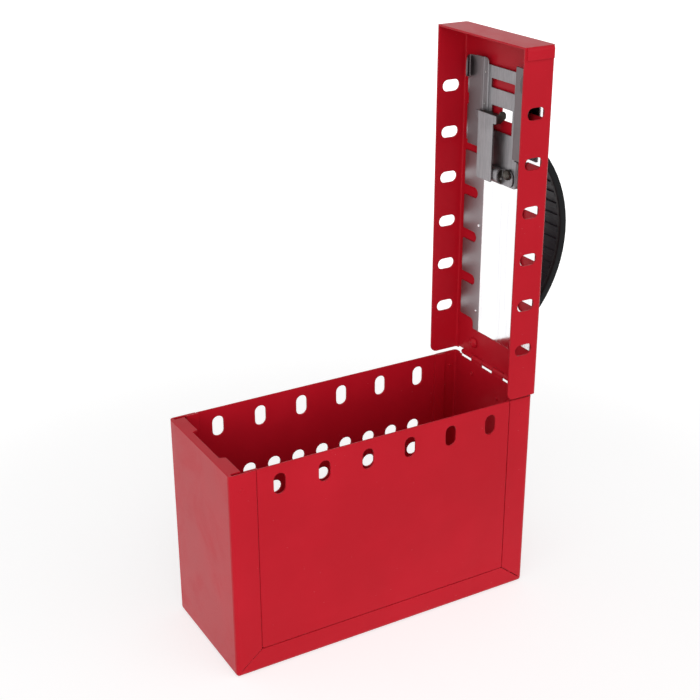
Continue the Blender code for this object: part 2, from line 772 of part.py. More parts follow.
# Handle on the outside of the lid
def handle_rivet_places():
    places = []
    tip = HANDLE_RADIUS * math.sin(HANDLE_SPREAD) - FOOT_OVERLAP - FOOT_LENGTH
    for end in (-1, 1):
        for side in (-1, 1):
            x = HANDLE_CENTRE_X + end * (tip + HANDLE_RIVET_INSET)
            places.append((x, side * HANDLE_RIVET_Y))
    return places


def ring_sector(inner, outer, start, stop, steps):
    centre = (HANDLE_CENTRE_X, HANDLE_CENTRE_Z)
    down = -math.pi / 2
    return arc(centre, outer, down + start, down + stop, steps) + arc(centre, inner, down + stop, down + start, steps)


def handle_bow():
    inner = HANDLE_RADIUS - HANDLE_THICKNESS
    outline = ring_sector(inner, HANDLE_RADIUS, -HANDLE_SPREAD, HANDLE_SPREAD, SWEEP_STEPS)
    half = HANDLE_WIDTH / 2
    bow = prism("handle_bow", [outline], 'Y', -half, half)
    bm = bmesh.new()
    bm.from_mesh(bow.data)
    rim = [edge for edge in bm.edges if all(abs(abs(vert.co.y) - half) < WELD for vert in edge.verts)]
    bmesh.ops.bevel(bm, geom=rim, offset=HANDLE_EDGE, segments=2, profile=0.5, affect='EDGES')
    bm.to_mesh(bow.data)
    bm.free()
    combine(bow, liner_pocket(), 'DIFFERENCE')
    for end in (-1, 1):
        combine(bow, handle_foot(end), 'UNION')
    low = LID_INNER - SHEET - FIT_GAP
    clear = block("clear", (0, -LID_HALF_WIDTH, low), (LID_END, LID_HALF_WIDTH, LID_FLANGE_DEPTH))
    combine(bow, clear, 'DIFFERENCE')
    outlines = [circle(place, HANDLE_RIVET_SHANK + FIT_GAP) for place in handle_rivet_places()]
    base = low - FOOT_THICKNESS - OVERRUN
    combine(bow, prism("holes", outlines, 'Z', base, low + OVERRUN), 'DIFFERENCE')
    return bow


def liner_pocket():
    inner = HANDLE_RADIUS - HANDLE_THICKNESS
    outline = ring_sector(inner - OVERRUN, inner + LINER_DEPTH, -LINER_SPREAD, LINER_SPREAD, SWEEP_STEPS)
    half = HANDLE_WIDTH / 2 - LINER_RIM
    return prism("pocket", [outline], 'Y', -half, half)


def handle_foot(end):
    outer = HANDLE_CENTRE_X + end * (HANDLE_RADIUS * math.sin(HANDLE_SPREAD) - FOOT_OVERLAP)
    inner = outer - end * FOOT_LENGTH
    high = LID_INNER - SHEET - FIT_GAP
    side = HANDLE_WIDTH / 2 - HANDLE_EDGE
    corners = [(outer, -side), (inner, -side), (inner, side), (outer, side)]
    outline = rounded(corners, [0, FOOT_CORNER, FOOT_CORNER, 0])
    return prism("foot", [outline], 'Z', high - FOOT_THICKNESS, high + OVERRUN)


def handle_liner():
    # Ribbed pad set in the inner face of the bow.
    inner = HANDLE_RADIUS - HANDLE_THICKNESS
    spread = LINER_SPREAD - FIT_GAP / inner
    base = ring_sector(inner + RIB_HEIGHT, inner + LINER_DEPTH - FIT_GAP, -spread, spread, SWEEP_STEPS)
    half = HANDLE_WIDTH / 2 - LINER_RIM - FIT_GAP
    liner = prism("handle_liner", [base], 'Y', -half, half)
    pitch = 2 * spread / LINER_RIBS
    ribs = []
    for index in range(LINER_RIBS):
        middle = -spread + pitch * (index + RIB_SHARE + (1 - 2 * RIB_SHARE) / 2)
        reach = pitch * RIB_SHARE / 2
        ribs.append(ring_sector(inner, inner + RIB_HEIGHT + SEAM_GAP, middle - reach, middle + reach, 2))
    combine(liner, prism("ribs", ribs, 'Y', STEP_RELIEF - half, half - STEP_RELIEF), 'UNION')
    return liner


def handle_rivet(place):
    base = LID_INNER - SHEET - FIT_GAP - FOOT_THICKNESS - FIT_GAP
    return rivet("handle_rivet", place, HANDLE_RIVET_HEAD, HANDLE_RIVET_DOME, base, -1, HANDLE_RIVET_SHANK, LID_INNER)


# Slide plate and latch carriage
def slide_plate():
    neck = SLIDE_HALF_WIDTH - SLIDE_NECK_INSET
    corners = [
        (SLIDE_START, -SLIDE_HALF_WIDTH),
        (SLIDE_SHOULDER, -SLIDE_HALF_WIDTH),
        (SLIDE_SHOULDER, -neck),
        (SLIDE_END, -neck),
        (SLIDE_END, neck),
        (SLIDE_SHOULDER, neck),
        (SLIDE_SHOULDER, SLIDE_HALF_WIDTH),
        (SLIDE_START, SLIDE_HALF_WIDTH),
    ]
    outline = rounded(corners, SLIDE_CORNER)
    high = SLIDE_LOW + SLIDE_THICKNESS
    plate = prism("slide_plate", [outline], 'Z', SLIDE_LOW, high)
    outlines = []
    inner = SLIDE_HALF_WIDTH - NOTCH_DEPTH
    half = (NOTCH_DEPTH + OVERRUN) / 2
    middle = inner + half
    for x in lid_slot_positions()[1:SHOULDER_SLOT]:
        for sign in (-1, 1):
            outlines.append(obround((x - NOTCH_OFFSET, sign * middle), NOTCH_WIDTH / 2, half))
    low = (SLIDE_START - OVERRUN, inner)
    top = (SLIDE_START + CORNER_NOTCH_LENGTH, SLIDE_HALF_WIDTH + OVERRUN)
    for sign in (-1, 1):
        corners = [(low[0], sign * low[1]), (top[0], sign * low[1]), (top[0], sign * top[1]), (low[0], sign * top[1])]
        outlines.append(rounded(corners, [0, CORNER_NOTCH_ROUND, 0, 0]))
    combine(plate, prism("notches", outlines, 'Z', SLIDE_LOW - OVERRUN, high + OVERRUN), 'DIFFERENCE')
    shank = prism("shank", [circle((RIVET_X, RIVET_Y), RIVET_SHANK + FIT_GAP)], 'Z', SLIDE_LOW - OVERRUN, high + OVERRUN)
    combine(plate, shank, 'DIFFERENCE')
    return plate


def carriage_section():
    middle = HAT_LOW + HAT_THICKNESS / 2
    half = [
        (HAT_WALL_FOOT, middle),
        (HAT_WALL_HEAD, WING_LEVEL),
        (WING_HALF, WING_LEVEL),
        (EAR_HALF, WING_LEVEL - EAR_DROP),
    ]
    mirrored = [(-y, z) for y, z in reversed(half)]
    return ribbon(bent_path(mirrored + half, WING_BEND), HAT_THICKNESS)


def latch_carriage():
    carriage = prism("latch_carriage", [carriage_section()], 'X', WING_START - OVERRUN, WING_END)
    top = WING_LEVEL + OVERRUN
    for sign in (-1, 1):
        for outline in wing_trims(sign):
            combine(carriage, prism("trim", [outline], 'Z', HAT_LOW - OVERRUN, top), 'DIFFERENCE')
    recess = rectangle((WING_END - HAT_PLATE_INSET, -HAT_WALL_FOOT), (WING_END + OVERRUN, HAT_WALL_FOOT))
    level = HAT_TOP + STEP_RELIEF
    combine(carriage, prism("recess", [recess], 'Z', HAT_LOW - OVERRUN, level), 'DIFFERENCE')
    combine(carriage, carriage_flat(), 'UNION')
    combine(carriage, carriage_holes(), 'DIFFERENCE')
    return carriage


def wing_trims(sign):
    # Cut the wing away below, notch its edge and round its leading corner.
    far = sign * (EAR_HALF + OVERRUN)
    ear_start = WING_END - EAR_LENGTH
    inner = sign * (HAT_WALL_FOOT - WING_BEND)
    root = [(WING_START - OVERRUN * 2, inner), (WING_START, inner)]
    root += [(WING_START, far), (WING_START - OVERRUN * 2, far)]
    lip = [(WING_START - OVERRUN, sign * WING_HALF), (ear_start, sign * WING_HALF)]
    lip += [(ear_start, far), (WING_START - OVERRUN, far)]
    centre = (WING_END - EAR_CORNER * EAR_STRETCH_SHARE, sign * (EAR_HALF - EAR_CORNER))
    curve = arc(centre, EAR_CORNER, sign * math.pi / 2, 0, ARC_STEPS)
    corner = [(centre[0] + (x - centre[0]) * EAR_STRETCH_SHARE, y) for x, y in curve]
    corner += [(WING_END + OVERRUN, centre[1]), (WING_END + OVERRUN, far), (centre[0], far)]
    return [root, rounded(lip, [0, SEAM_GAP, 0, 0]), corner]


def carriage_flat():
    corners = [
        (HAT_START, -HAT_FLAT_HALF),
        (HAT_FLAT_END, -HAT_FLAT_HALF),
        (HAT_FLAT_END, HAT_FLAT_HALF),
        (HAT_START, HAT_FLAT_HALF),
    ]
    radii = [HAT_FLAT_CORNER, 0, 0, HAT_FLAT_CORNER]
    return prism("flat", [rounded(corners, radii)], 'Z', HAT_LOW, HAT_TOP)


def carriage_window(drop, height, half):
    top = WING_END - drop
    return rectangle((top - height, -half), (top, half), WINDOW_CORNER)


def carriage_holes():
    outlines = [
        carriage_window(WINDOW_HIGH_DROP, WINDOW_HIGH_HEIGHT, WINDOW_HIGH_HALF),
        carriage_window(WINDOW_LOW_DROP, WINDOW_LOW_HEIGHT, WINDOW_LOW_HALF),
        circle((RIVET_X, RIVET_Y), RIVET_SHANK + FIT_GAP),
    ]
    return prism("holes", outlines, 'Z', HAT_LOW - OVERRUN, HAT_TOP + OVERRUN)


# Press catch
def pivot_saddle():
    base = SADDLE_LOW
    top = SADDLE_HIGH
    corners = [(SADDLE_END, base), (SADDLE_END, top), (SADDLE_START, top), (SADDLE_START, base)]
    outer = rounded(corners, [0, SADDLE_BEND, SADDLE_BEND, 0])
    saddle = prism("pivot_saddle", [outer], 'Y', SADDLE_FRONT, SADDLE_BACK)
    skin = SADDLE_SHEET
    inner_corners = [
        (SADDLE_END - skin, base - OVERRUN),
        (SADDLE_END - skin, top - skin),
        (SADDLE_START + skin, top - skin),
        (SADDLE_START + skin, base - OVERRUN),
    ]
    inner = rounded(inner_corners, [0, SADDLE_BEND - skin, SADDLE_BEND - skin, 0])
    combine(saddle, prism("hollow", [inner], 'Y', SADDLE_FRONT + skin, SADDLE_BACK - skin), 'DIFFERENCE')
    foot_end = SADDLE_FRONT - SADDLE_FOOT_LENGTH
    foot = [
        (SADDLE_START, foot_end),
        (SADDLE_START, SADDLE_FRONT + skin / 2),
        (SADDLE_END, SADDLE_FRONT + skin / 2),
        (SADDLE_END, foot_end),
    ]
    outline = rounded(foot, [SADDLE_FOOT_CORNER, 0, 0, SADDLE_FOOT_CORNER])
    combine(saddle, prism("foot", [outline], 'Z', base, base + skin), 'UNION')
    bore = prism("bore", [circle((PIVOT_X, PIVOT_Z), CATCH_PIN_RADIUS + FIT_GAP)], 'Y',
                 SADDLE_FRONT - OVERRUN, SADDLE_BACK + OVERRUN)
    combine(saddle, bore, 'DIFFERENCE')
    shank = prism("shank", [circle((RIVET_X, RIVET_Y), RIVET_SHANK + FIT_GAP)], 'Z', base - OVERRUN, base + OVERRUN)
    combine(saddle, shank, 'DIFFERENCE')
    return saddle


def saddle_rivet():
    base = SADDLE_LOW + SADDLE_SHEET + FIT_GAP
    place = (RIVET_X, RIVET_Y)
    return rivet("saddle_rivet", place, RIVET_HEAD, RIVET_DOME, base, 1, RIVET_SHANK, SLIDE_LOW)


def catch_pin():
    pin = circle((PIVOT_X, PIVOT_Z), CATCH_PIN_RADIUS)
    return prism("catch_pin", [pin], 'Y', SADDLE_FRONT - CATCH_PIN_OUT, CATCH_PIN_BACK)


def catch_spring():
    # A coil swept along the pin, closed at both ends.
    bm = bmesh.new()
    total = SPRING_TURNS * SPRING_STEPS
    last = None
    for index in range(total + 1):
        angle = 2 * math.pi * index / SPRING_STEPS
        along = SADDLE_FRONT + SPRING_INSET + SPRING_LENGTH * index / total
        ring = []
        for side in range(SPRING_SIDES):
            turn = 2 * math.pi * side / SPRING_SIDES
            radius = SPRING_RADIUS + SPRING_WIRE * math.cos(turn)
            x = PIVOT_X + radius * math.cos(angle)
            z = PIVOT_Z + radius * math.sin(angle)
            ring.append(bm.verts.new((x, along + SPRING_WIRE * math.sin(turn), z)))
        if last:
            for side in range(SPRING_SIDES):
                after = (side + 1) % SPRING_SIDES
                bm.faces.new((last[side], last[after], ring[after], ring[side]))
        else:
            bm.faces.new(ring)
        last = ring
    bm.faces.new(last[::-1])
    return mesh_object("catch_spring", bm)


def tongue_outline():
    corners = [
        (TONGUE_START, TONGUE_FRONT),
        (TONGUE_NECK_END, TONGUE_FRONT),
        (TONGUE_NECK_END, TONGUE_FRONT - TONGUE_TAB),
        (TONGUE_END, TONGUE_FRONT - TONGUE_TAB),
        (TONGUE_END, TONGUE_BACK + TONGUE_FLARE),
        (TONGUE_NECK_END, TONGUE_BACK),
        (TONGUE_START, TONGUE_BACK),
    ]
    return rounded(corners, TONGUE_CORNER)


def catch_tongue():
    eye_front = SADDLE_BACK + EYE_GAP
    eye_back = eye_front + EYE_LENGTH
    top = TONGUE_LOW + TONGUE_SHEET
    tongue = prism("catch_tongue", [tongue_outline()], 'Z', TONGUE_LOW, top)
    shelf_front = TONGUE_FRONT + SHELF_INSET
    shelf_back = shelf_front + SHELF_WIDTH
    shelf_end = LID_INNER + SHELF_GAP
    shelf = [
        (shelf_front, TONGUE_LOW + STEP_RELIEF),
        (shelf_front, shelf_end),
        (shelf_back, shelf_end),
        (shelf_back, TONGUE_LOW + STEP_RELIEF),
    ]
    outline = rounded(shelf, [0, NUB_ROUND, NUB_ROUND, 0])
    sheet = prism("shelf", [outline], 'X', TONGUE_END - TONGUE_SHEET - STEP_RELIEF, TONGUE_END - STEP_RELIEF)
    combine(tongue, sheet, 'UNION')
    eye = prism("eye", [circle((PIVOT_X, PIVOT_Z), EYE_RADIUS)], 'Y', eye_front, eye_back)
    combine(tongue, eye, 'UNION')
    neck_half = EYE_RADIUS - SEAM_GAP
    neck = rectangle((PIVOT_X - neck_half, PIVOT_Z), (PIVOT_X + neck_half, TONGUE_LOW + STEP_RELIEF))
    combine(tongue, prism("neck", [neck], 'Y', eye_front + STEP_RELIEF, eye_back - STEP_RELIEF), 'UNION')
    bore = prism("bore", [circle((PIVOT_X, PIVOT_Z), CATCH_BORE)], 'Y', eye_front - OVERRUN, eye_back + OVERRUN)
    combine(tongue, bore, 'DIFFERENCE')
    return tongue


def build():
    clear_scene()
    red = material("red_enamel", RED, 0.34, 0.0)
    black = material("black_handle", BLACK, 0.42, 0.0)
    liner = material("ribbed_liner", BLACK, 0.55, 0.0)
    steel = material("bright_stainless", STEEL, 0.12, 1.0)
    brushed = material("brushed_steel", STEEL, 0.30, 1.0)
    zinc = material("zinc_plate", ZINC, 0.38, 1.0)

    root = empty("lockout_box", (0, 0, 0))
    lid_pivot = empty("lid_pivot", (HINGE_X, 0, HINGE_Z), root)
    lid_pivot.rotation_euler = (0, -math.pi / 2, 0)
    slide_rail = empty("slide_rail", (0, 0, 0), lid_pivot)
    catch_pivot = empty("catch_pivot", (PIVOT_X, 0, PIVOT_Z), slide_rail)

    finish(wrapper_shell(), "wrapper_shell", red, root)
    finish(panel("front_panel", -1, False), "front_panel", red, root)
    finish(panel("back_panel", 1, True), "back_panel", red, root)
    finish(hinge_pin(), "hinge_pin", zinc, root)

    finish(lid_tray(), "lid_tray", red, lid_pivot)
    finish(lid_stud(-1), "lid_stud_front", red, lid_pivot)
    finish(lid_stud(1), "lid_stud_back", red, lid_pivot)
    finish(handle_bow(), "handle_bow", black, lid_pivot)
    finish(handle_liner(), "handle_liner", liner, lid_pivot)
    for index, place in enumerate(handle_rivet_places()):
        finish(handle_rivet(place), "handle_rivet_%d" % (index + 1), zinc, lid_pivot)

    finish(slide_plate(), "slide_plate", steel, slide_rail)
    finish(latch_carriage(), "latch_carriage", brushed, slide_rail)
    finish(pivot_saddle(), "pivot_saddle", brushed, slide_rail)
    finish(saddle_rivet(), "saddle_rivet", zinc, slide_rail)
    finish(catch_pin(), "catch_pin", zinc, slide_rail)
    finish(catch_spring(), "catch_spring", zinc, slide_rail)
    finish(catch_tongue(), "catch_tongue", brushed, catch_pivot, (PIVOT_X, 0, PIVOT_Z))


build()
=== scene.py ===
import math

import bmesh
import bpy
from mathutils import Euler, Matrix, Vector


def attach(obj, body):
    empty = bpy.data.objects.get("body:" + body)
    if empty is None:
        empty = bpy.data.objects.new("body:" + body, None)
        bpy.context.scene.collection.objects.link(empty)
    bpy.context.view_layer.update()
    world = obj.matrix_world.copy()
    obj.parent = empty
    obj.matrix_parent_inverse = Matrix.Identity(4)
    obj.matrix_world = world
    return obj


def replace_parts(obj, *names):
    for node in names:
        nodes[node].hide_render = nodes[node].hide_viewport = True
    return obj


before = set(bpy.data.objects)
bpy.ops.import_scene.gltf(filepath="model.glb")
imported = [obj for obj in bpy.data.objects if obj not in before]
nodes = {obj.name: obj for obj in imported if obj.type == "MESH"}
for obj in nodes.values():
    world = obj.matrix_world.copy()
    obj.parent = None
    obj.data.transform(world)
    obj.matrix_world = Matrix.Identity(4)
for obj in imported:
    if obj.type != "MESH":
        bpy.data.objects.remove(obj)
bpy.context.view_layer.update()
print("frame loaded,", len(nodes), "pieces")


# helpers for node trees
def addNode(tree, kind, place, settings=None, inputs=None):
    node = tree.nodes.new(kind)
    node.location = place
    for key, value in (settings or {}).items():
        setattr(node, key, value)
    for key, value in (inputs or {}).items():
        if isinstance(value, bpy.types.NodeSocket):
            tree.links.new(value, node.inputs[key])
        else:
            node.inputs[key].default_value = value
    return node


def addMath(tree, operation, place, first, second=0.0, clamp=False):
    return addNode(tree, "ShaderNodeMath", place, {"operation": operation, "use_clamp": clamp},
                   {0: first, 1: second}).outputs[0]


def addRange(tree, place, value, low, high, toLow=0.0, toHigh=1.0):
    return addNode(tree, "ShaderNodeMapRange", place, {"interpolation_type": "SMOOTHSTEP"},
                   {"Value": value, "From Min": low, "From Max": high,
                    "To Min": toLow, "To Max": toHigh}).outputs[0]


def addColourMix(tree, place, amount, first, second, blend="MIX"):
    node = addNode(tree, "ShaderNodeMix", place, {"data_type": "RGBA", "blend_type": blend})
    for index, value in ((0, amount), (6, first), (7, second)):
        if isinstance(value, bpy.types.NodeSocket):
            tree.links.new(value, node.inputs[index])
        else:
            node.inputs[index].default_value = value if index == 0 else (*value[:3], 1.0)
    return node.outputs[2]


def startGroup(name, inputs, outputs):
    group = bpy.data.node_groups.new(name, "ShaderNodeTree")
    for label, kind, value in inputs:
        socket = group.interface.new_socket(name=label, in_out="INPUT", socket_type=kind)
        if value is not None:
            socket.default_value = value
    for label, kind in outputs:
        group.interface.new_socket(name=label, in_out="OUTPUT", socket_type=kind)
    entry = addNode(group, "NodeGroupInput", (-900, 0))
    end = addNode(group, "NodeGroupOutput", (900, 0))
    return group, entry.outputs, end.inputs


def link(tree, source, target):
    tree.links.new(source, target)


# shared effects
def makeOrangePeel():
    group, given, out = startGroup(
        "orangePeel",
        [("Vector", "NodeSocketVector", None), ("Size", "NodeSocketFloat", 0.0016)],
        [("Height", "NodeSocketFloat"), ("Cloud", "NodeSocketFloat")])
    scale = addMath(group, "DIVIDE", (-700, -100), 1.0, given["Size"])
    waves = addNode(group, "ShaderNodeTexNoise", (-500, 150), None,
                    {"Vector": given["Vector"], "Scale": scale, "Detail": 1.5, "Roughness": 0.45})
    finer = addMath(group, "MULTIPLY", (-700, -300), scale, 3.1)
    grit = addNode(group, "ShaderNodeTexNoise", (-500, -150), None,
                   {"Vector": given["Vector"], "Scale": finer, "Detail": 2.0, "Roughness": 0.5})
    gritPart = addMath(group, "MULTIPLY", (-250, -150), grit.outputs[0], 0.35)
    height = addMath(group, "ADD", (0, 50), waves.outputs[0], gritPart)
    cloud = addNode(group, "ShaderNodeTexNoise", (-500, -450), None,
                    {"Vector": given["Vector"], "Scale": 14.0, "Detail": 3.0, "Roughness": 0.55})
    link(group, height, out["Height"])
    link(group, cloud.outputs[0], out["Cloud"])
    return group


# mask of the rounded edges, broken up by noise; it drives worn edges on the plastics, thinner paint with a
# painted highlight on the red, and painted highlights on the steels' cut edges
def makeEdgeWearAndHighlight():
    group, given, out = startGroup(
        "edgeWearAndHighlight",
        [("Vector", "NodeSocketVector", None), ("Radius", "NodeSocketFloat", 0.0005),
         ("Breakup", "NodeSocketFloat", 180.0)],
        [("Mask", "NodeSocketFloat"), ("Normal", "NodeSocketVector")])
    rounded = addNode(group, "ShaderNodeBevel", (-650, 200), {"samples": 6}, {"Radius": given["Radius"]})
    flat = addNode(group, "ShaderNodeNewGeometry", (-650, -50))
    likeness = addNode(group, "ShaderNodeVectorMath", (-400, 100), {"operation": "DOT_PRODUCT"},
                       {0: rounded.outputs[0], 1: flat.outputs["Normal"]}).outputs["Value"]
    bend = addMath(group, "SUBTRACT", (-200, 100), 1.0, likeness)
    edge = addRange(group, (0, 100), bend, 0.02, 0.20)
    noise = addNode(group, "ShaderNodeTexNoise", (-400, -250), None,
                    {"Vector": given["Vector"], "Scale": given["Breakup"], "Detail": 4.0, "Roughness": 0.65})
    patchy = addRange(group, (0, -200), noise.outputs[0], 0.38, 0.68)
    mask = addMath(group, "MULTIPLY", (300, 50), edge, patchy)
    link(group, mask, out["Mask"])
    link(group, rounded.outputs[0], out["Normal"])
    return group


def makeBrushedGrain():
    group, given, out = startGroup(
        "brushedGrain",
        [("Vector", "NodeSocketVector", None), ("Fineness", "NodeSocketFloat", 2600.0),
         ("Stretch", "NodeSocketVector", (1.0, 0.02, 1.0))],
        [("Height", "NodeSocketFloat"), ("Streak", "NodeSocketFloat")])
    longWay = addNode(group, "ShaderNodeVectorMath", (-650, 100), {"operation": "MULTIPLY"},
                      {0: given["Vector"], 1: given["Stretch"]}).outputs[0]
    lines = addNode(group, "ShaderNodeTexNoise", (-400, 200), None,
                    {"Vector": longWay, "Scale": given["Fineness"], "Detail": 3.0, "Roughness": 0.6})
    wider = addMath(group, "MULTIPLY", (-650, -150), given["Fineness"], 0.17)
    bands = addNode(group, "ShaderNodeTexNoise", (-400, -100), None,
                    {"Vector": longWay, "Scale": wider, "Detail": 2.0, "Roughness": 0.5})
    streak = addMath(group, "MULTIPLY", (-100, -100), bands.outputs[0], lines.outputs[0])
    link(group, lines.outputs[0], out["Height"])
    link(group, streak, out["Streak"])
    return group


def makeHandlingMarks():
    group, given, out = startGroup(
        "handlingMarks",
        [("Vector", "NodeSocketVector", None), ("Size", "NodeSocketFloat", 0.02)],
        [("Smudge", "NodeSocketFloat"), ("Speck", "NodeSocketFloat")])
    scale = addMath(group, "DIVIDE", (-700, 0), 1.0, given["Size"])
    blot = addNode(group, "ShaderNodeTexNoise", (-500, 150), None,
                   {"Vector": given["Vector"], "Scale": scale, "Detail": 5.0, "Roughness": 0.62,
                    "Distortion": 0.6})
    smudge = addRange(group, (-200, 150), blot.outputs[0], 0.42, 0.72)
    motes = addNode(group, "ShaderNodeTexVoronoi", (-500, -200), {"feature": "F1"},
                    {"Vector": given["Vector"], "Scale": 420.0, "Randomness": 1.0})
    near = addRange(group, (-200, -100), motes.outputs["Distance"], 0.10, 0.05)
    few = addNode(group, "ShaderNodeSeparateColor", (-300, -350), None, {"Color": motes.outputs["Color"]})
    chosen = addRange(group, (-100, -350), few.outputs[0], 0.93, 0.97)
    speck = addMath(group, "MULTIPLY", (200, -200), near, chosen)
    link(group, smudge, out["Smudge"])
    link(group, speck, out["Speck"])
    return group


orangePeel = makeOrangePeel()
edgeWearAndHighlight = makeEdgeWearAndHighlight()
brushedGrain = makeBrushedGrain()
handlingMarks = makeHandlingMarks()
print("shared effects made")


def startMaterial(name):
    material = bpy.data.materials.new(name)
    material.use_nodes = True
    tree = material.node_tree
    shader = tree.nodes["Principled BSDF"]
    coords = addNode(tree, "ShaderNodeTexCoord", (-1500, 0)).outputs["Object"]
    return material, tree, shader, coords


def useGroup(tree, group, place, inputs):
    return addNode(tree, "ShaderNodeGroup", place, {"node_tree": group}, inputs).outputs


def addBump(tree, place, height, strength, distance, normal=None):
    bump = addNode(tree, "ShaderNodeBump", place, None,
                   {"Height": height, "Strength": strength, "Distance": distance})
    if normal is not None:
        link(tree, normal, bump.inputs["Normal"])
    return bump.outputs[0]


# finishes
# the lighter edge colour stands for thinner paint there and is also a painted highlight where the edges catch
# the light
redCoat = {"red": (0.57, 0.0088, 0.0225), "deepRed": (0.52, 0.0070, 0.0185), "thinCoatHighlight": (0.66, 0.045, 0.060),
           "dust": (0.80, 0.45, 0.45), "dustShare": 0.5, "smudge": 0.035, "smear": 0.07, "peelRough": 0.05,
           "roughness": 0.33, "specular": 0.16, "peel": 0.0014, "peelHeight": 0.00006, "peelShare": 0.55,
           "edgeRadius": 0.00045, "edgeShare": 0.55}


def makeRedCoat(name, look):
    material, tree, shader, coords = startMaterial(name)
    peel = useGroup(tree, orangePeel, (-1200, 300), {"Vector": coords, "Size": look["peel"]})
    edges = useGroup(tree, edgeWearAndHighlight, (-1200, 0), {"Vector": coords, "Radius": look["edgeRadius"]})
    marks = useGroup(tree, handlingMarks, (-1200, -300), {"Vector": coords, "Size": look["smudge"]})
    tone = addRange(tree, (-950, 300), peel["Cloud"], 0.35, 0.70)
    ground = addColourMix(tree, (-700, 300), tone, look["deepRed"], look["red"])
    # edges go lighter: thinner paint plus a painted highlight
    edgeAmount = addMath(tree, "MULTIPLY", (-950, 50), edges["Mask"], look["edgeShare"])
    thinnedAndHighlit = addColourMix(tree, (-450, 250), edgeAmount, ground, look["thinCoatHighlight"])
    dust = addMath(tree, "MULTIPLY", (-950, -350), marks["Speck"], look["dustShare"])
    colour = addColourMix(tree, (-250, 250), dust, thinnedAndHighlit, look["dust"])
    link(tree, colour, shader.inputs["Base Color"])
    rubbed = addMath(tree, "MULTIPLY", (-950, -200), marks["Smudge"], look["smear"])
    grainy = addMath(tree, "MULTIPLY", (-950, 150), peel["Height"], look["peelRough"])
    rough = addMath(tree, "ADD", (-650, -150), rubbed, grainy)
    link(tree, addMath(tree, "ADD", (-450, -150), rough, look["roughness"]), shader.inputs["Roughness"])
    shader.inputs["Specular IOR Level"].default_value = look["specular"]
    bump = addBump(tree, (-250, -300), peel["Height"], look["peelShare"], look["peelHeight"], edges["Normal"])
    link(tree, bump, shader.inputs["Normal"])
    return material


# what every steel has unless its own dictionary says otherwise
# edge is the colour the cut edges take; where it is lighter than the metal it is a painted highlight
usualSteel = {"edge": (0.78, 0.78, 0.79), "edgeRadius": 0.0003, "smudge": 0.016, "soil": 0.25, "smear": 0.12,
              "lineRough": 0.10, "lineShare": 0.35, "stripBlend": 0.0003}
# on the carriage the wings beside the middle take a darker pinkish tone: a painted reflection of the red flange
# and painted shade
brushedPlate = {"metal": (0.33, 0.315, 0.325), "dark": (0.25, 0.24, 0.25), "roughness": 0.37,
                "fineness": 5200.0, "stretch": (1.0, 1.0, 0.05), "lineHeight": 0.000004, "soil": 0.2,
                "edge": (0.62, 0.61, 0.62), "strip": 0.0178, "bothSides": True,
                "stripTone": (0.16, 0.135, 0.14), "stripRough": 0.02}
# dark copy of the steel: painted shade on the tongue's shelf and nose and in the saddle's ends; the saddle
# rivet is given it too
darkAndShadedPlate = {"metal": (0.105, 0.095, 0.085), "dark": (0.060, 0.052, 0.046), "roughness": 0.36,
               "fineness": 2400.0, "stretch": (1.0, 1.0, 1.0), "lineHeight": 0.00001, "soil": 0.4,
               "edge": (0.34, 0.32, 0.30)}


def makeSteel(name, ownLook):
    look = {**usualSteel, **ownLook}
    material, tree, shader, coords = startMaterial(name)
    grain = useGroup(tree, brushedGrain, (-1200, 300),
                     {"Vector": coords, "Fineness": look["fineness"], "Stretch": look["stretch"]})
    edges = useGroup(tree, edgeWearAndHighlight, (-1200, 0), {"Vector": coords, "Radius": look["edgeRadius"]})
    marks = useGroup(tree, handlingMarks, (-1200, -300), {"Vector": coords, "Size": look["smudge"]})
    tone = addRange(tree, (-950, 300), grain["Streak"], 0.12, 0.42)
    ground = addColourMix(tree, (-700, 300), tone, look["dark"], look["metal"])
    soiled = addMath(tree, "MULTIPLY", (-950, -300), marks["Smudge"], look["soil"])
    colour = addColourMix(tree, (-450, 250), soiled, ground, look["dark"])
    # the strips beside the middle are rougher, and their tone is a painted reflection of the shaded red flange
    if "strip" in look:  # the strips beside the middle are duller
        across = addNode(tree, "ShaderNodeSeparateXYZ", (-1200, 550), None, {"Vector": coords}).outputs["Y"]
        beside = addMath(tree, "ABSOLUTE", (-1000, 550), across) if look["bothSides"] else across
        strip = addRange(tree, (-800, 550), beside, look["strip"] - look["stripBlend"],
                         look["strip"] + look["stripBlend"])
        colour = addColourMix(tree, (-350, 400), strip, colour, look["stripTone"])
    # cut edges take the edge colour, a painted highlight where it is lighter than the metal
    bright = addColourMix(tree, (-250, 250), edges["Mask"], colour, look["edge"])
    link(tree, bright, shader.inputs["Base Color"])
    shader.inputs["Metallic"].default_value = 1.0
    rubbed = addMath(tree, "MULTIPLY", (-950, -150), marks["Smudge"], look["smear"])
    lined = addMath(tree, "MULTIPLY", (-950, 150), grain["Height"], look["lineRough"])
    rough = addMath(tree, "ADD", (-650, -150), rubbed, lined)
    rough = addMath(tree, "ADD", (-450, -150), rough, look["roughness"])
    if "strip" in look:
        duller = addMath(tree, "MULTIPLY", (-600, 550), strip, look["stripRough"])
        rough = addMath(tree, "ADD", (-300, -150), rough, duller)
    link(tree, rough, shader.inputs["Roughness"])
    bump = addBump(tree, (-250, -300), grain["Height"], look["lineShare"], look["lineHeight"], edges["Normal"])
    link(tree, bump, shader.inputs["Normal"])
    return material


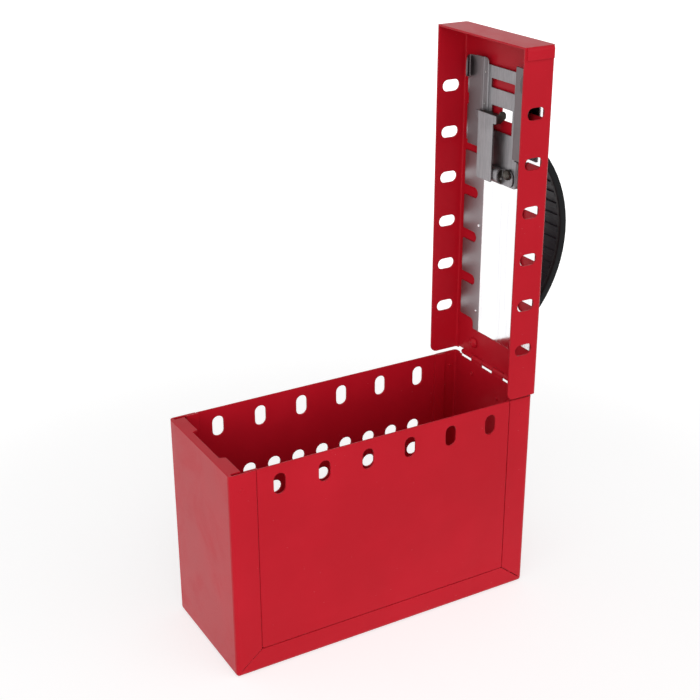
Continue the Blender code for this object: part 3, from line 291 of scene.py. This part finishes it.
# only the slide plate's strip on its back side takes a pinkish grey tone: a painted reflection of the shaded
# red back flange
polishedPlate = {"metal": (0.88, 0.88, 0.885), "dark": (0.72, 0.72, 0.73), "roughness": 0.07,
                 "fineness": 1900.0, "stretch": (1.0, 1.0, 0.02), "lineHeight": 0.000004,
                 "smear": 0.04, "lineRough": 0.04, "soil": 0.05, "lineShare": 0.2, "strip": 0.0187,
                 "bothSides": False, "stripTone": (0.31, 0.285, 0.295), "stripRough": 0.34}
polishedDot = {"metal": (0.93, 0.93, 0.935), "dark": (0.80, 0.80, 0.81), "roughness": 0.10,
               "fineness": 1900.0, "stretch": (1.0, 1.0, 1.0), "lineHeight": 0.000002}
zincPlate = {"metal": (0.60, 0.59, 0.57), "dark": (0.36, 0.35, 0.34), "roughness": 0.30,
             "fineness": 900.0, "stretch": (1.0, 1.0, 1.0), "lineHeight": 0.00002, "soil": 0.4}

# what both plastics share
usualPlastic = {"smudge": 0.02, "smear": 0.14, "edgeShare": 0.6, "dust": (0.35, 0.35, 0.36), "dustShare": 0.35,
                "specular": 0.26, "grainShare": 0.6}
blackPlastic = {"black": (0.0050, 0.0055, 0.0070), "worn": (0.016, 0.017, 0.020), "roughness": 0.50,
                "grain": 0.0007, "grainHeight": 0.00008, "edgeRadius": 0.0006}
linerPlastic = {"black": (0.0065, 0.0085, 0.0150), "worn": (0.018, 0.022, 0.032), "roughness": 0.44,
                "grain": 0.0005, "grainHeight": 0.00005, "edgeRadius": 0.0003}


def makePlastic(name, ownLook):
    look = {**usualPlastic, **ownLook}
    material, tree, shader, coords = startMaterial(name)
    grain = useGroup(tree, orangePeel, (-1200, 300), {"Vector": coords, "Size": look["grain"]})
    edges = useGroup(tree, edgeWearAndHighlight, (-1200, 0), {"Vector": coords, "Radius": look["edgeRadius"]})
    marks = useGroup(tree, handlingMarks, (-1200, -300), {"Vector": coords, "Size": look["smudge"]})
    amount = addMath(tree, "MULTIPLY", (-950, 0), edges["Mask"], look["edgeShare"])
    ground = addColourMix(tree, (-700, 250), amount, look["black"], look["worn"])
    dust = addMath(tree, "MULTIPLY", (-950, -350), marks["Speck"], look["dustShare"])
    link(tree, addColourMix(tree, (-450, 250), dust, ground, look["dust"]), shader.inputs["Base Color"])
    rubbed = addMath(tree, "MULTIPLY", (-950, -200), marks["Smudge"], look["smear"])
    link(tree, addMath(tree, "ADD", (-450, -150), rubbed, look["roughness"]), shader.inputs["Roughness"])
    shader.inputs["Specular IOR Level"].default_value = look["specular"]
    bump = addBump(tree, (-250, -300), grain["Height"], look["grainShare"], look["grainHeight"],
                   edges["Normal"])
    link(tree, bump, shader.inputs["Normal"])
    return material


# the dark copy paints shade on parts of the latch
darkAndShadedSteel = makeSteel("darkAndShadedStainless", darkAndShadedPlate)
dimpleSteel = makeSteel("dimpleStainless", polishedDot)
finishes = {
    "red_enamel": makeRedCoat("redPowderCoat", redCoat),
    "black_handle": makePlastic("blackMouldedPlastic", blackPlastic),
    "ribbed_liner": makePlastic("ribbedSoftPlastic", linerPlastic),
    "bright_stainless": makeSteel("polishedStainless", polishedPlate),
    "brushed_steel": makeSteel("brushedStainless", brushedPlate),
    "zinc_plate": makeSteel("zincPlating", zincPlate),
}
finishOfNode = {
    "red_enamel": ["wrapper_shell", "front_panel", "back_panel", "lid_tray", "lid_stud_front", "lid_stud_back",
                   "hinge_pin"],
    "black_handle": ["handle_bow"],
    "ribbed_liner": ["handle_liner"],
    "bright_stainless": ["slide_plate"],
    "brushed_steel": ["latch_carriage", "pivot_saddle", "catch_tongue"],
    "zinc_plate": ["saddle_rivet", "catch_pin", "catch_spring", "handle_rivet_1", "handle_rivet_2",
                   "handle_rivet_3", "handle_rivet_4"],
}
for slotName, members in finishOfNode.items():
    for member in members:
        mesh = nodes[member].data
        mesh.materials.clear()
        mesh.materials.append(finishes[slotName])
print("finishes made and assigned")


# pieces built flat in the lid's own plane and stood up with it
lidFrame = {"hingeX": 0.1161, "hingeZ": 0.1511}


def standUp(bm):
    # along the lid, across it, and out of its inner face become up, back and left
    for vert in bm.verts:
        along, across, out = vert.co
        vert.co = (lidFrame["hingeX"] - out, across, lidFrame["hingeZ"] + along)


def roundOff(corners, radii, steps=7):
    points = []
    for index, (corner, radius) in enumerate(zip(corners, radii)):
        here = Vector(corner)
        if radius <= 0:
            points.append(here)
            continue
        before = (Vector(corners[index - 1]) - here).normalized()
        after = (Vector(corners[(index + 1) % len(corners)]) - here).normalized()
        half = before.angle(after) / 2
        centre = here + (before + after).normalized() * radius / math.sin(half)
        start = here + before * radius / math.tan(half) - centre
        stop = here + after * radius / math.tan(half) - centre
        for step in range(steps + 1):
            points.append(centre + start.lerp(stop, step / steps).normalized() * radius)
    return [point for index, point in enumerate(points) if (point - points[index - 1]).length > 0.00002]


def ring(place, radius, count=28):
    turns = [2 * math.pi * step / count for step in range(count)]
    return [Vector((place[0] + radius * math.cos(turn), place[1] + radius * math.sin(turn))) for turn in turns]


def window(low, high, radius):
    corners = [(low[0], low[1]), (high[0], low[1]), (high[0], high[1]), (low[0], high[1])]
    return roundOff(corners, [radius] * 4)


def mirroredOutline(half):
    # corners of one half, each with its rounding, and the same again on the other side of the middle
    whole = half + [(along, -across, radius) for along, across, radius in reversed(half)]
    return roundOff([point[:2] for point in whole], [point[2] for point in whole])


def addLineAcross(bm, across):
    bmesh.ops.bisect_plane(bm, geom=bm.verts[:] + bm.edges[:] + bm.faces[:], dist=0.000002,
                           plane_co=(0, across, 0), plane_no=(0, 1, 0))


def spinProfile(bm, profile, centre, steps):
    verts = [bm.verts.new(centre + Vector((across, 0.0, up))) for across, up in profile]
    edges = [bm.edges.new(pair) for pair in zip(verts, verts[1:])]
    bmesh.ops.spin(bm, geom=verts + edges, cent=centre, axis=(0, 0, 1), angle=2 * math.pi, steps=steps,
                   use_merge=True)
    bmesh.ops.remove_doubles(bm, verts=bm.verts, dist=0.000004)


def mergeInto(bm, part):
    joined = bpy.data.meshes.new("joined")
    part.to_mesh(joined)
    part.free()
    bm.from_mesh(joined)
    bpy.data.meshes.remove(joined)


def cutSheet(bm, outlines, low, high, facing="Z", softness=0.00014, tone=0):
    # fills the outline round its holes, gives it thickness and takes the sharpness off its edges
    sheet = bmesh.new()
    for outline in outlines:
        rim = [sheet.verts.new((point[0], point[1], low)) for point in outline]
        for index, vert in enumerate(rim):
            sheet.edges.new((rim[index - 1], vert))
    bmesh.ops.triangle_fill(sheet, edges=sheet.edges[:], use_beauty=True, normal=(0, 0, 1))
    pushed = bmesh.ops.extrude_face_region(sheet, geom=sheet.faces[:])["geom"]
    bmesh.ops.translate(sheet, verts=[part for part in pushed if isinstance(part, bmesh.types.BMVert)],
                        vec=(0, 0, high - low))
    bmesh.ops.recalc_face_normals(sheet, faces=sheet.faces)
    sharp = [edge for edge in sheet.edges if edge.is_manifold and edge.calc_face_angle() > 1.2]
    bmesh.ops.bevel(sheet, geom=sharp, offset=softness, offset_type="OFFSET", segments=2, profile=0.5,
                    affect="EDGES", clamp_overlap=True, material=-1)
    for vert in sheet.verts:
        first, second, third = vert.co
        vert.co = {"X": (third, first, second), "Y": (first, third, second),
                   "Z": (first, second, third)}[facing]
    if facing == "Y":
        bmesh.ops.reverse_faces(sheet, faces=sheet.faces[:])
    for face in sheet.faces:
        face.material_index = tone
    mergeInto(bm, sheet)


def finishPiece(name, bm, slotName, body, stand=True, looks=None, sharpAt=0.6):
    if stand:
        standUp(bm)
    bmesh.ops.remove_doubles(bm, verts=bm.verts, dist=0.000002)
    bmesh.ops.recalc_face_normals(bm, faces=bm.faces)
    mesh = bpy.data.meshes.new(name)
    bm.to_mesh(mesh)
    bm.free()
    for face in mesh.polygons:
        face.use_smooth = True
    mesh.set_sharp_from_angle(angle=sharpAt)
    for look in looks or [finishes[slotName]]:
        mesh.materials.append(look)
    piece = bpy.data.objects.new(name, mesh)
    bpy.context.scene.collection.objects.link(piece)
    evened = piece.modifiers.new("evenedNormals", "WEIGHTED_NORMAL")
    evened.keep_sharp = True
    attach(piece, body)
    return piece


# long bright plate that runs under the carriage, notched where the slots are
slideCut = {"start": 0.0232, "end": 0.20885, "half": 0.0415, "low": 0.0011, "high": 0.0019, "corner": 0.0015,
            "forkHalf": 0.0145, "forkRoot": 0.17085, "forkCorner": 0.003,
            "firstNotch": 0.0596, "pitch": 0.03215, "notches": 5, "notchHalf": 0.00385, "notchRoot": 0.0255,
            "notchFill": 0.99, "endNotch": 0.0306, "endRound": 0.0035, "footRound": 0.0008, "stepRound": 0.0006,
            "rivet": (0.1472, -0.0111), "rivetHole": 0.0019, "stripFrom": 0.0187, "sunkFrom": 0.0120,
            "sunk": 0.00030}


def makeSlidePlate(cut):
    notchRound = cut["notchHalf"] * cut["notchFill"]
    side = [(cut["start"], cut["notchRoot"], cut["footRound"]),
            (cut["endNotch"], cut["notchRoot"], cut["endRound"]),
            (cut["endNotch"], cut["half"], cut["stepRound"])]
    for index in range(cut["notches"]):
        middle = cut["firstNotch"] + cut["pitch"] * index
        low, high = middle - cut["notchHalf"], middle + cut["notchHalf"]
        side += [(low, cut["half"], cut["stepRound"]), (low, cut["notchRoot"], notchRound),
                 (high, cut["notchRoot"], notchRound), (high, cut["half"], cut["stepRound"])]
    side += [(cut["end"], cut["half"], cut["corner"]), (cut["end"], cut["forkHalf"], cut["corner"]),
             (cut["forkRoot"], cut["forkHalf"], cut["forkCorner"])]
    bm = bmesh.new()
    cutSheet(bm, [mirroredOutline(side), ring(cut["rivet"], cut["rivetHole"])], cut["low"], cut["high"])
    for across in (-cut["stripFrom"], -cut["sunkFrom"], cut["sunkFrom"], cut["stripFrom"]):
        addLineAcross(bm, across)
    for vert in bm.verts:  # the polished middle lies a little lower than the dull strips beside it
        share = (cut["stripFrom"] - abs(vert.co.y)) / (cut["stripFrom"] - cut["sunkFrom"])
        vert.co.z -= cut["sunk"] * min(max(share, 0.0), 1.0)
    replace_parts(finishPiece("slidePlate", bm, "bright_stainless", "slide", sharpAt=0.3), "slide_plate")


# folded latch carriage: foot plate with windows, two walls, wings, and ears that lean over the wings
carriageCut = {"low": 0.0022, "high": 0.0032, "wingLevel": 0.0066, "start": 0.1385, "flatEnd": 0.1573,
               "wingStart": 0.1598, "end": 0.2206, "plateEnd": 0.2156, "flatHalf": 0.0200, "flatCorner": 0.004,
               "shoulder": 0.0012, "footLift": 0.0008, "wallFoot": 0.0168, "wallHead": 0.0184,
               "wingHalf": 0.0326, "bend": 0.0013, "bendSteps": 5,
               "earOut": 0.0017, "earLean": 0.0049, "earRise": 0.0053, "earStart": 0.2055, "earSlit": 0.0005,
               "earFall": 0.0012, "earTop": 0.006, "earFoot": 0.003, "wingCorner": 0.0006, "wallCorner": 0.0036,
               "highWindow": ((0.2011, -0.013), (0.2073, 0.013)),
               "lowWindow": ((0.1732, -0.0116), (0.1898, 0.0116)), "windowCorner": 0.0006,
               "rivet": (0.1472, -0.0111), "rivetHole": 0.0019}


def bendMarks(path):
    # run along the flat sheet, place and mitred normal of each point of the bent half section
    marks, run = [], 0.0
    for index, here in enumerate(path):
        before = here - path[max(index - 1, 0)]
        after = path[min(index + 1, len(path) - 1)] - here
        run += before.length
        before = before.normalized() if index > 0 else after.normalized()
        after = after.normalized() if index < len(path) - 1 else before
        along = (before + after).normalized()
        marks.append((run, here, Vector((-along.y, along.x)) / along.dot(before)))
    return marks


def bentHalf(cut, withEar):
    middle = (cut["low"] + cut["high"]) / 2
    half = [(0.0, middle), (cut["wallFoot"], middle), (cut["wallHead"], cut["wingLevel"])]
    if withEar:
        tip = cut["wingHalf"] + cut["earOut"]
        half += [(tip, cut["wingLevel"]), (tip - cut["earLean"], cut["wingLevel"] + cut["earRise"])]
    else:
        half.append((cut["wingHalf"], cut["wingLevel"]))
    return bendMarks(roundOff(half, [0] + [cut["bend"]] * (len(half) - 2) + [0], cut["bendSteps"]))


def foldOver(bm, stretches, level):
    # bend the flat blank along its marks; each stretch begins further along the lid than the one before
    runs = sorted({mark[0] for start, marks in stretches for mark in marks[1:-1]})
    for run in runs:
        for side in (-1, 1):
            addLineAcross(bm, side * run)
    for vert in bm.verts:
        chosen = [marks for start, marks in stretches if vert.co.x > start]
        if not chosen:
            continue
        marks, rest = chosen[-1], abs(vert.co.y)
        index = 1
        while index < len(marks) - 1 and marks[index][0] < rest:
            index += 1
        low, high = marks[index - 1], marks[index]
        share = (rest - low[0]) / (high[0] - low[0])
        rise = vert.co.z - level
        spot = (low[1] + low[2] * rise).lerp(high[1] + high[2] * rise, share)
        vert.co = (vert.co.x, -spot.x if vert.co.y < 0 else spot.x, spot.y)


def makeLatchCarriage(cut):
    wing, ear = bentHalf(cut, False), bentHalf(cut, True)
    foot, edge, tip = wing[1][0], wing[-1][0], ear[-1][0]
    root = ear[-cut["bendSteps"] - 2][0]  # the ear begins where its own bend does
    lifted = foot + cut["footLift"]  # clears the hem of the box when the lid is shut
    slit = cut["earStart"] - cut["earSlit"]
    half = [(cut["plateEnd"], lifted, 0), (cut["end"], lifted, cut["wallCorner"]),
            (cut["end"], (foot + root) / 2, 0), (cut["end"] - cut["earFall"], tip, cut["earTop"]),
            (cut["earStart"], tip, cut["earFoot"]), (cut["earStart"], root, 0),
            (slit, root, 0), (slit, edge, 0), (cut["wingStart"], edge, cut["wingCorner"]),
            (cut["wingStart"], foot, 0), (cut["flatEnd"], foot, 0),
            (cut["flatEnd"], cut["flatHalf"], cut["shoulder"]),
            (cut["start"], cut["flatHalf"], cut["flatCorner"])]
    holes = [window(*cut["highWindow"], cut["windowCorner"]), window(*cut["lowWindow"], cut["windowCorner"]),
             ring(cut["rivet"], cut["rivetHole"])]
    bm = bmesh.new()
    cutSheet(bm, [mirroredOutline(half)] + holes, cut["low"], cut["high"])
    stretches = [((cut["flatEnd"] + cut["wingStart"]) / 2, wing), ((cut["earStart"] + slit) / 2, ear)]
    foldOver(bm, stretches, (cut["low"] + cut["high"]) / 2)
    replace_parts(finishPiece("latchCarriage", bm, "brushed_steel", "slide"), "latch_carriage")


# press tongue with its thumb shelf and the nose that comes through the lid's window
tongueCut = {"start": 0.1399, "neck": 0.1800, "end": 0.1853, "front": 0.0008, "back": 0.0175, "tab": 0.0033,
             "flare": 0.0046, "low": 0.0087, "sheet": 0.0009, "corner": 0.0006, "shelfReach": 0.0158,
             "shelfLow": 0.0038, "shelfRound": 0.003, "shelfBend": 0.0004, "shelfSet": 0.00005,
             "noseLow": 0.1792, "noseHigh": 0.1872, "noseEnd": -0.0004, "noseDrop": 0.005, "noseShift": 0.0031,
             "noseDisc": 0.0046, "noseShoulder": 0.001, "noseSet": 0.0001, "noseRound": 0.003,
             "noseBend": 0.0015, "eyeAlong": 0.1434, "eyeOut": 0.0056, "eyeRadius": 0.002, "eyeHole": 0.0009,
             "eyeFront": 0.0092, "eyeBack": 0.0145, "bridgeHalf": 0.0018, "bridgeLow": 0.0009,
             "bridgeCorner": 0.0003, "bridgeLap": 0.0002}


def makeCatchTongue(cut):
    face = [(cut["start"], cut["front"]), (cut["neck"], cut["front"]), (cut["neck"], cut["front"] - cut["tab"]),
            (cut["end"], cut["front"] - cut["tab"]), (cut["end"], cut["back"] + cut["flare"]),
            (cut["neck"], cut["back"]), (cut["start"], cut["back"])]
    bm = bmesh.new()
    cutSheet(bm, [roundOff(face, [cut["corner"]] * len(face))], cut["low"], cut["low"] + cut["sheet"])
    root = cut["low"] + cut["sheet"] / 2
    shelf = [(cut["front"], root), (cut["front"], cut["shelfLow"]), (cut["shelfReach"], cut["shelfLow"]),
             (cut["shelfReach"], root)]
    shelfTop = cut["end"] - cut["shelfSet"]
    # the shelf and the nose take the dark steel, which paints the shade on them
    cutSheet(bm, [roundOff(shelf, [0, cut["shelfBend"], cut["shelfRound"], 0])], shelfTop - cut["sheet"],
             shelfTop, "X", tone=1)
    noseTop, discEnd = cut["end"] - cut["noseSet"], cut["noseEnd"] + cut["noseDisc"]
    nose = [(cut["noseLow"], root), (cut["noseLow"], root - cut["noseDrop"]),
            (cut["noseLow"] + cut["noseShift"], cut["noseEnd"]), (cut["noseHigh"], cut["noseEnd"]),
            (cut["noseHigh"], discEnd), (noseTop, discEnd + cut["noseShoulder"]), (noseTop, root)]
    bends = [0, cut["noseBend"], cut["noseBend"], cut["noseRound"], cut["noseBend"], 0, 0]
    cutSheet(bm, [roundOff(nose, bends)], cut["front"] - cut["sheet"], cut["front"], "Y", tone=1)
    eye = (cut["eyeAlong"], cut["eyeOut"])
    cutSheet(bm, [ring(eye, cut["eyeRadius"]), ring(eye, cut["eyeHole"])], cut["eyeFront"], cut["eyeBack"], "Y")
    bridge = window((eye[0] - cut["bridgeHalf"], eye[1] + cut["bridgeLow"]),
                    (eye[0] + cut["bridgeHalf"], cut["low"] + cut["bridgeLap"]), cut["bridgeCorner"])
    cutSheet(bm, [bridge], cut["eyeFront"] + cut["bridgeLap"], cut["eyeBack"] - cut["bridgeLap"], "Y")
    looks = [finishes["brushed_steel"], darkAndShadedSteel]
    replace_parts(finishPiece("catchTongue", bm, "brushed_steel", "catch", looks=looks), "catch_tongue")


# little rolled saddle that carries the pivot pin, and its round rivet
saddleCut = {"start": 0.1390, "end": 0.1500, "low": 0.0035, "high": 0.0084, "front": -0.0050, "back": 0.0088,
             "sheet": 0.0008, "bend": 0.0032, "roll": 0.0046, "wallSet": 0.00004, "footEnd": -0.0162,
             "footCorner": 0.004, "rivet": (0.1472, -0.0111), "headRadius": 0.0036, "headRise": 0.0027,
             "headLow": 0.0045, "headFlat": 0.24, "headSkirt": 0.0004}


def makePivotSaddle(cut):
    skin = cut["sheet"]
    outer = [(cut["end"], cut["low"]), (cut["end"], cut["high"]), (cut["start"], cut["high"]),
             (cut["start"], cut["low"])]
    wall = roundOff(outer, [0, cut["bend"], cut["roll"], 0])
    inner = [(cut["start"] + skin, cut["low"]), (cut["start"] + skin, cut["high"] - skin),
             (cut["end"] - skin, cut["high"] - skin), (cut["end"] - skin, cut["low"])]
    shell = wall + roundOff(inner, [0, cut["roll"] - skin, cut["bend"] - skin, 0])
    bm = bmesh.new()
    cutSheet(bm, [shell], cut["front"], cut["back"], "Y")
    # dark steel plates set just inside both ends close the hollow and paint the shade under the saddle
    cutSheet(bm, [wall], cut["front"] + cut["wallSet"], cut["front"] + skin, "Y", tone=1)
    cutSheet(bm, [wall], cut["back"] - skin, cut["back"] - cut["wallSet"], "Y", tone=1)
    foot = [(cut["start"], cut["footEnd"]), (cut["start"], cut["front"] + skin / 2),
            (cut["end"], cut["front"] + skin / 2), (cut["end"], cut["footEnd"])]
    cutSheet(bm, [roundOff(foot, [cut["footCorner"], 0, 0, cut["footCorner"]])], cut["low"], cut["low"] + skin)
    looks = [finishes["brushed_steel"], darkAndShadedSteel]
    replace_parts(finishPiece("pivotSaddle", bm, "brushed_steel", "slide", looks=looks), "pivot_saddle")


def makeSaddleRivet(cut):
    # half section of a round head with a small flat on top, turned about its own axis
    bm = bmesh.new()
    radius, rise, flat = cut["headRadius"], cut["headRise"], cut["headFlat"]
    profile = [(0.0, rise), (radius * flat, rise)]
    profile += [(radius * (flat + (1 - flat) * math.sin(turn)), rise * math.cos(turn))
                for turn in (0.2, 0.4, 0.6, 0.8, 1.0, 1.2, 1.4, math.pi / 2)]
    profile += [(radius, -cut["headSkirt"]), (0.0, -cut["headSkirt"])]
    spinProfile(bm, profile, Vector((*cut["rivet"], cut["headLow"])), 36)
    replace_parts(finishPiece("saddleRivet", bm, "zinc_plate", "slide", looks=[darkAndShadedSteel]), "saddle_rivet")


# pressed dimples, weld rings and small beads: place, direction it stands out in, radius, rise, hollow middle
frontFace, backFace = -0.0465, 0.0465
marksOf = {
    ("weldRings", "red_enamel", "box"): [
        ((-0.1067, frontFace, 0.1385), (0, -1, 0), 0.0018, 0.00022, True),
        ((0.1067, frontFace, 0.1385), (0, -1, 0), 0.0018, 0.00022, True),
        ((-0.1067, backFace, 0.1385), (0, 1, 0), 0.0018, 0.00022, True),
        ((0.1067, backFace, 0.1385), (0, 1, 0), 0.0018, 0.00022, True)],
    ("innerWeldBeads", "red_enamel", "box"): [
        ((0.1138, 0.0235, 0.1395), (-1, 0, 0), 0.0016, 0.0008, True),
        ((0.1138, -0.0077, 0.1314), (-1, 0, 0), 0.0014, 0.0006, False),
        ((0.1091, 0.0453, 0.1385), (0, -1, 0), 0.0013, 0.0006, False)],
    ("slideDimples", "bright_stainless", "slide"): [
        ((0.1142, 0.0228, 0.2530), (-1, 0, 0), 0.0013, 0.0008, False),
        ((0.1142, 0.0225, 0.1890), (-1, 0, 0), 0.0011, 0.0007, False),
        ((0.1142, -0.0228, 0.2530), (-1, 0, 0), 0.0013, 0.0008, False),
        ((0.1142, -0.0225, 0.1890), (-1, 0, 0), 0.0011, 0.0007, False)],
    ("wallDimples", "zinc_plate", "slide"): [
        ((0.1112, 0.0172, 0.3617), (-0.2, -1, 0), 0.0007, 0.00025, False),
        ((0.1112, 0.0172, 0.3404), (-0.2, -1, 0), 0.0007, 0.00025, False)],
}


def addBead(bm, place, facing, radius, rise, hollow):
    # the half section in shares of its radius and rise; the skirt goes below the surface it sits on
    if hollow:
        shares = [(0.0, 0.2), (0.45, 0.25), (0.68, 1.0), (0.86, 0.85)]
    else:
        shares = [(math.sin(turn), math.cos(turn)) for turn in (0, 0.3, 0.6, 0.9, 1.2, 1.5)]
    profile = [(radius * across, rise * up) for across, up in shares + [(1.0, -1.0), (0.0, -1.0)]]
    bead = bmesh.new()
    spinProfile(bead, profile, Vector((0, 0, 0)), 24)
    turn = Vector((0, 0, 1)).rotation_difference(Vector(facing)).to_matrix().to_4x4()
    bmesh.ops.transform(bead, matrix=Matrix.Translation(place) @ turn, verts=bead.verts)
    mergeInto(bm, bead)


def makeBeads():
    for (name, slotName, body), places in marksOf.items():
        bm = bmesh.new()
        for place, facing, radius, rise, hollow in places:
            addBead(bm, place, facing, radius, rise, hollow)
        looks = [dimpleSteel] if name == "slideDimples" else None
        finishPiece(name, bm, slotName, body, stand=False, looks=looks)


# sealed seam round the front and back panels, a little below their faces
seam = {"side": 0.1038, "foot": 0.0082, "top": 0.1490, "half": 0.00045, "sunk": 0.00007, "deep": 0.0012,
        "corner": 0.00005, "softness": 0.00008}


def makeSeams(cut):
    bm = bmesh.new()
    side, foot, top, half = cut["side"], cut["foot"], cut["top"], cut["half"]
    runs = ((-side, foot, -side, top), (side, foot, side, top), (-side, foot, side, foot))
    for left, low, right, high in runs:
        edge = window((left - half, low - half), (right + half, high + half), cut["corner"])
        cutSheet(bm, [edge], frontFace + cut["sunk"], frontFace + cut["deep"], "Y", cut["softness"])
        cutSheet(bm, [edge], backFace - cut["deep"], backFace - cut["sunk"], "Y", cut["softness"])
    finishPiece("panelSeams", bm, "red_enamel", "box", stand=False)


makeBeads()
makeSeams(seam)
makeSlidePlate(slideCut)
makeLatchCarriage(carriageCut)
makeCatchTongue(tongueCut)
makePivotSaddle(saddleCut)
makeSaddleRivet(saddleCut)
print("small details and latch pieces made")


# floor, light and camera
studio = {"floorSize": 6.0, "floorDrop": 0.0004, "floorCells": 8, "floorGrey": 0.55,
          "nearGlow": 0.62, "farGlow": 1.0, "nearReach": 0.30, "farReach": 0.90,
          "frontMirror": 0.12, "backMirror": 0.97, "mirrorFrom": -0.55, "mirrorTo": 0.10,
          "evenGlow": 0.03, "frontGlow": 1.30, "leftGlow": 0.60, "topGlow": 0.18, "backGlow": 0.25,
          "rightGlow": 0.20, "skyFront": 0.40, "skyBack": 1.0, "skyFrom": -0.6, "skyTo": 0.5}


def makeFloor():
    bm = bmesh.new()
    bmesh.ops.create_grid(bm, x_segments=studio["floorCells"], y_segments=studio["floorCells"],
                          size=studio["floorSize"] / 2)
    bmesh.ops.translate(bm, verts=bm.verts, vec=(0, 0, -studio["floorDrop"]))
    mesh = bpy.data.meshes.new("studioFloor")
    bm.to_mesh(mesh)
    bm.free()
    material = bpy.data.materials.new("studioFloorPaint")
    material.use_nodes = True
    tree = material.node_tree
    tree.nodes.clear()
    out = addNode(tree, "ShaderNodeOutputMaterial", (600, 0))
    diffuse = addNode(tree, "ShaderNodeBsdfDiffuse", (0, 100), None,
                      {"Color": (studio["floorGrey"],) * 3 + (1.0,)})
    glow = addNode(tree, "ShaderNodeEmission", (200, -100), None, {"Color": (1, 1, 1, 1)})
    path = addNode(tree, "ShaderNodeLightPath", (-900, 0))
    coords = addNode(tree, "ShaderNodeTexCoord", (-1300, -300)).outputs["Object"]
    reach = addNode(tree, "ShaderNodeVectorMath", (-1100, -200), {"operation": "LENGTH"}, {0: coords})
    # the far floor goes white, the near one keeps shadows
    seenGlow = addRange(tree, (-900, -200), reach.outputs["Value"], studio["nearReach"], studio["farReach"],
                        studio["nearGlow"], studio["farGlow"])
    axes = addNode(tree, "ShaderNodeSeparateXYZ", (-1100, -400), None, {"Vector": coords})
    mirrorGlow = addRange(tree, (-700, -400), axes.outputs["Y"], studio["mirrorFrom"], studio["mirrorTo"],
                          studio["frontMirror"], studio["backMirror"])
    seen = addMath(tree, "MULTIPLY", (-500, -100), path.outputs["Is Camera Ray"], seenGlow)
    mirrored = addMath(tree, "MULTIPLY", (-500, -300), path.outputs["Is Glossy Ray"], mirrorGlow)
    link(tree, addMath(tree, "ADD", (-200, -200), seen, mirrored), glow.inputs["Strength"])
    both = addNode(tree, "ShaderNodeAddShader", (400, 0))
    link(tree, diffuse.outputs[0], both.inputs[0])
    link(tree, glow.outputs[0], both.inputs[1])
    link(tree, both.outputs[0], out.inputs["Surface"])
    mesh.materials.append(material)
    floor = bpy.data.objects.new("studioFloor", mesh)
    bpy.context.scene.collection.objects.link(floor)


def makeWorld():
    world = bpy.data.worlds.new("studioWorld")
    bpy.context.scene.world = world
    world.use_nodes = True
    tree = world.node_tree
    tree.nodes.clear()
    out = addNode(tree, "ShaderNodeOutputWorld", (600, 0))
    back = addNode(tree, "ShaderNodeBackground", (300, 0), None, {"Color": (1, 1, 1, 1)})
    path = addNode(tree, "ShaderNodeLightPath", (-900, 0))
    coords = addNode(tree, "ShaderNodeTexCoord", (-1300, -300)).outputs["Object"]
    axes = addNode(tree, "ShaderNodeSeparateXYZ", (-1100, -300), None, {"Vector": coords})
    depth = addMath(tree, "SUBTRACT", (-900, -300), axes.outputs["Y"], axes.outputs["X"])
    skyGlow = addRange(tree, (-700, -300), depth, studio["skyFrom"], studio["skyTo"],
                       studio["skyFront"], studio["skyBack"])
    mirrored = addMath(tree, "MULTIPLY", (-450, -200), path.outputs["Is Glossy Ray"], skyGlow)
    seen = addMath(tree, "ADD", (-250, -100), path.outputs["Is Camera Ray"], mirrored)
    hidden = addMath(tree, "SUBTRACT", (-450, -400), 1.0, path.outputs["Is Camera Ray"])
    unseen = addMath(tree, "SUBTRACT", (-250, -400), hidden, path.outputs["Is Glossy Ray"], True)
    level = studio["evenGlow"]
    sides = (("Y", -1.0, "frontGlow"), ("X", -1.0, "leftGlow"), ("Z", 1.0, "topGlow"), ("Y", 1.0, "backGlow"),
             ("X", 1.0, "rightGlow"))
    for row, (axis, sign, share) in enumerate(sides):
        down = -500 - 150 * row
        side = addMath(tree, "MULTIPLY", (-900, down), axes.outputs[axis], sign, True)
        part = addMath(tree, "MULTIPLY", (-700, down), side, studio[share])
        level = addMath(tree, "ADD", (-500, down), part, level)
    ambient = addMath(tree, "MULTIPLY", (0, -250), unseen, level)
    link(tree, addMath(tree, "ADD", (150, -100), seen, ambient), back.inputs["Strength"])
    link(tree, back.outputs[0], out.inputs["Surface"])


lampPanel = {"place": (-0.55, -0.95, 0.22), "aim": (0.0, 0.0, 0.15), "size": (0.5, 0.4), "power": 2.1}


def makeLamp(look):
    light = bpy.data.lights.new("frontPanel", "AREA")
    light.shape = "RECTANGLE"
    light.size, light.size_y = look["size"]
    light.energy = look["power"]
    lamp = bpy.data.objects.new("frontPanel", light)
    bpy.context.scene.collection.objects.link(lamp)
    lamp.location = look["place"]
    lamp.rotation_euler = (Vector(look["aim"]) - Vector(look["place"])).to_track_quat("-Z", "Y").to_euler()


view = {"place": (-0.4019486, -0.6945108, 0.5443931), "turn": (1.1557406, 0.0022975, -0.5219273),
        "lens": 67.874, "sensor": 36.0, "shift": (0.001131, 0.002342), "nearest": 0.02}


def makeCamera():
    data = bpy.data.cameras.new("photoView")
    data.sensor_fit = "HORIZONTAL"
    data.sensor_width = view["sensor"]
    data.lens = view["lens"]
    data.shift_x, data.shift_y = view["shift"]
    data.clip_start = view["nearest"]
    camera = bpy.data.objects.new("photoView", data)
    bpy.context.scene.collection.objects.link(camera)
    camera.location = view["place"]
    camera.rotation_euler = Euler(view["turn"], "XYZ")
    bpy.context.scene.camera = camera


makeFloor()
makeWorld()
makeLamp(lampPanel)
makeCamera()
bpy.context.scene.view_settings.view_transform = "Standard"
print("floor, light and camera made")
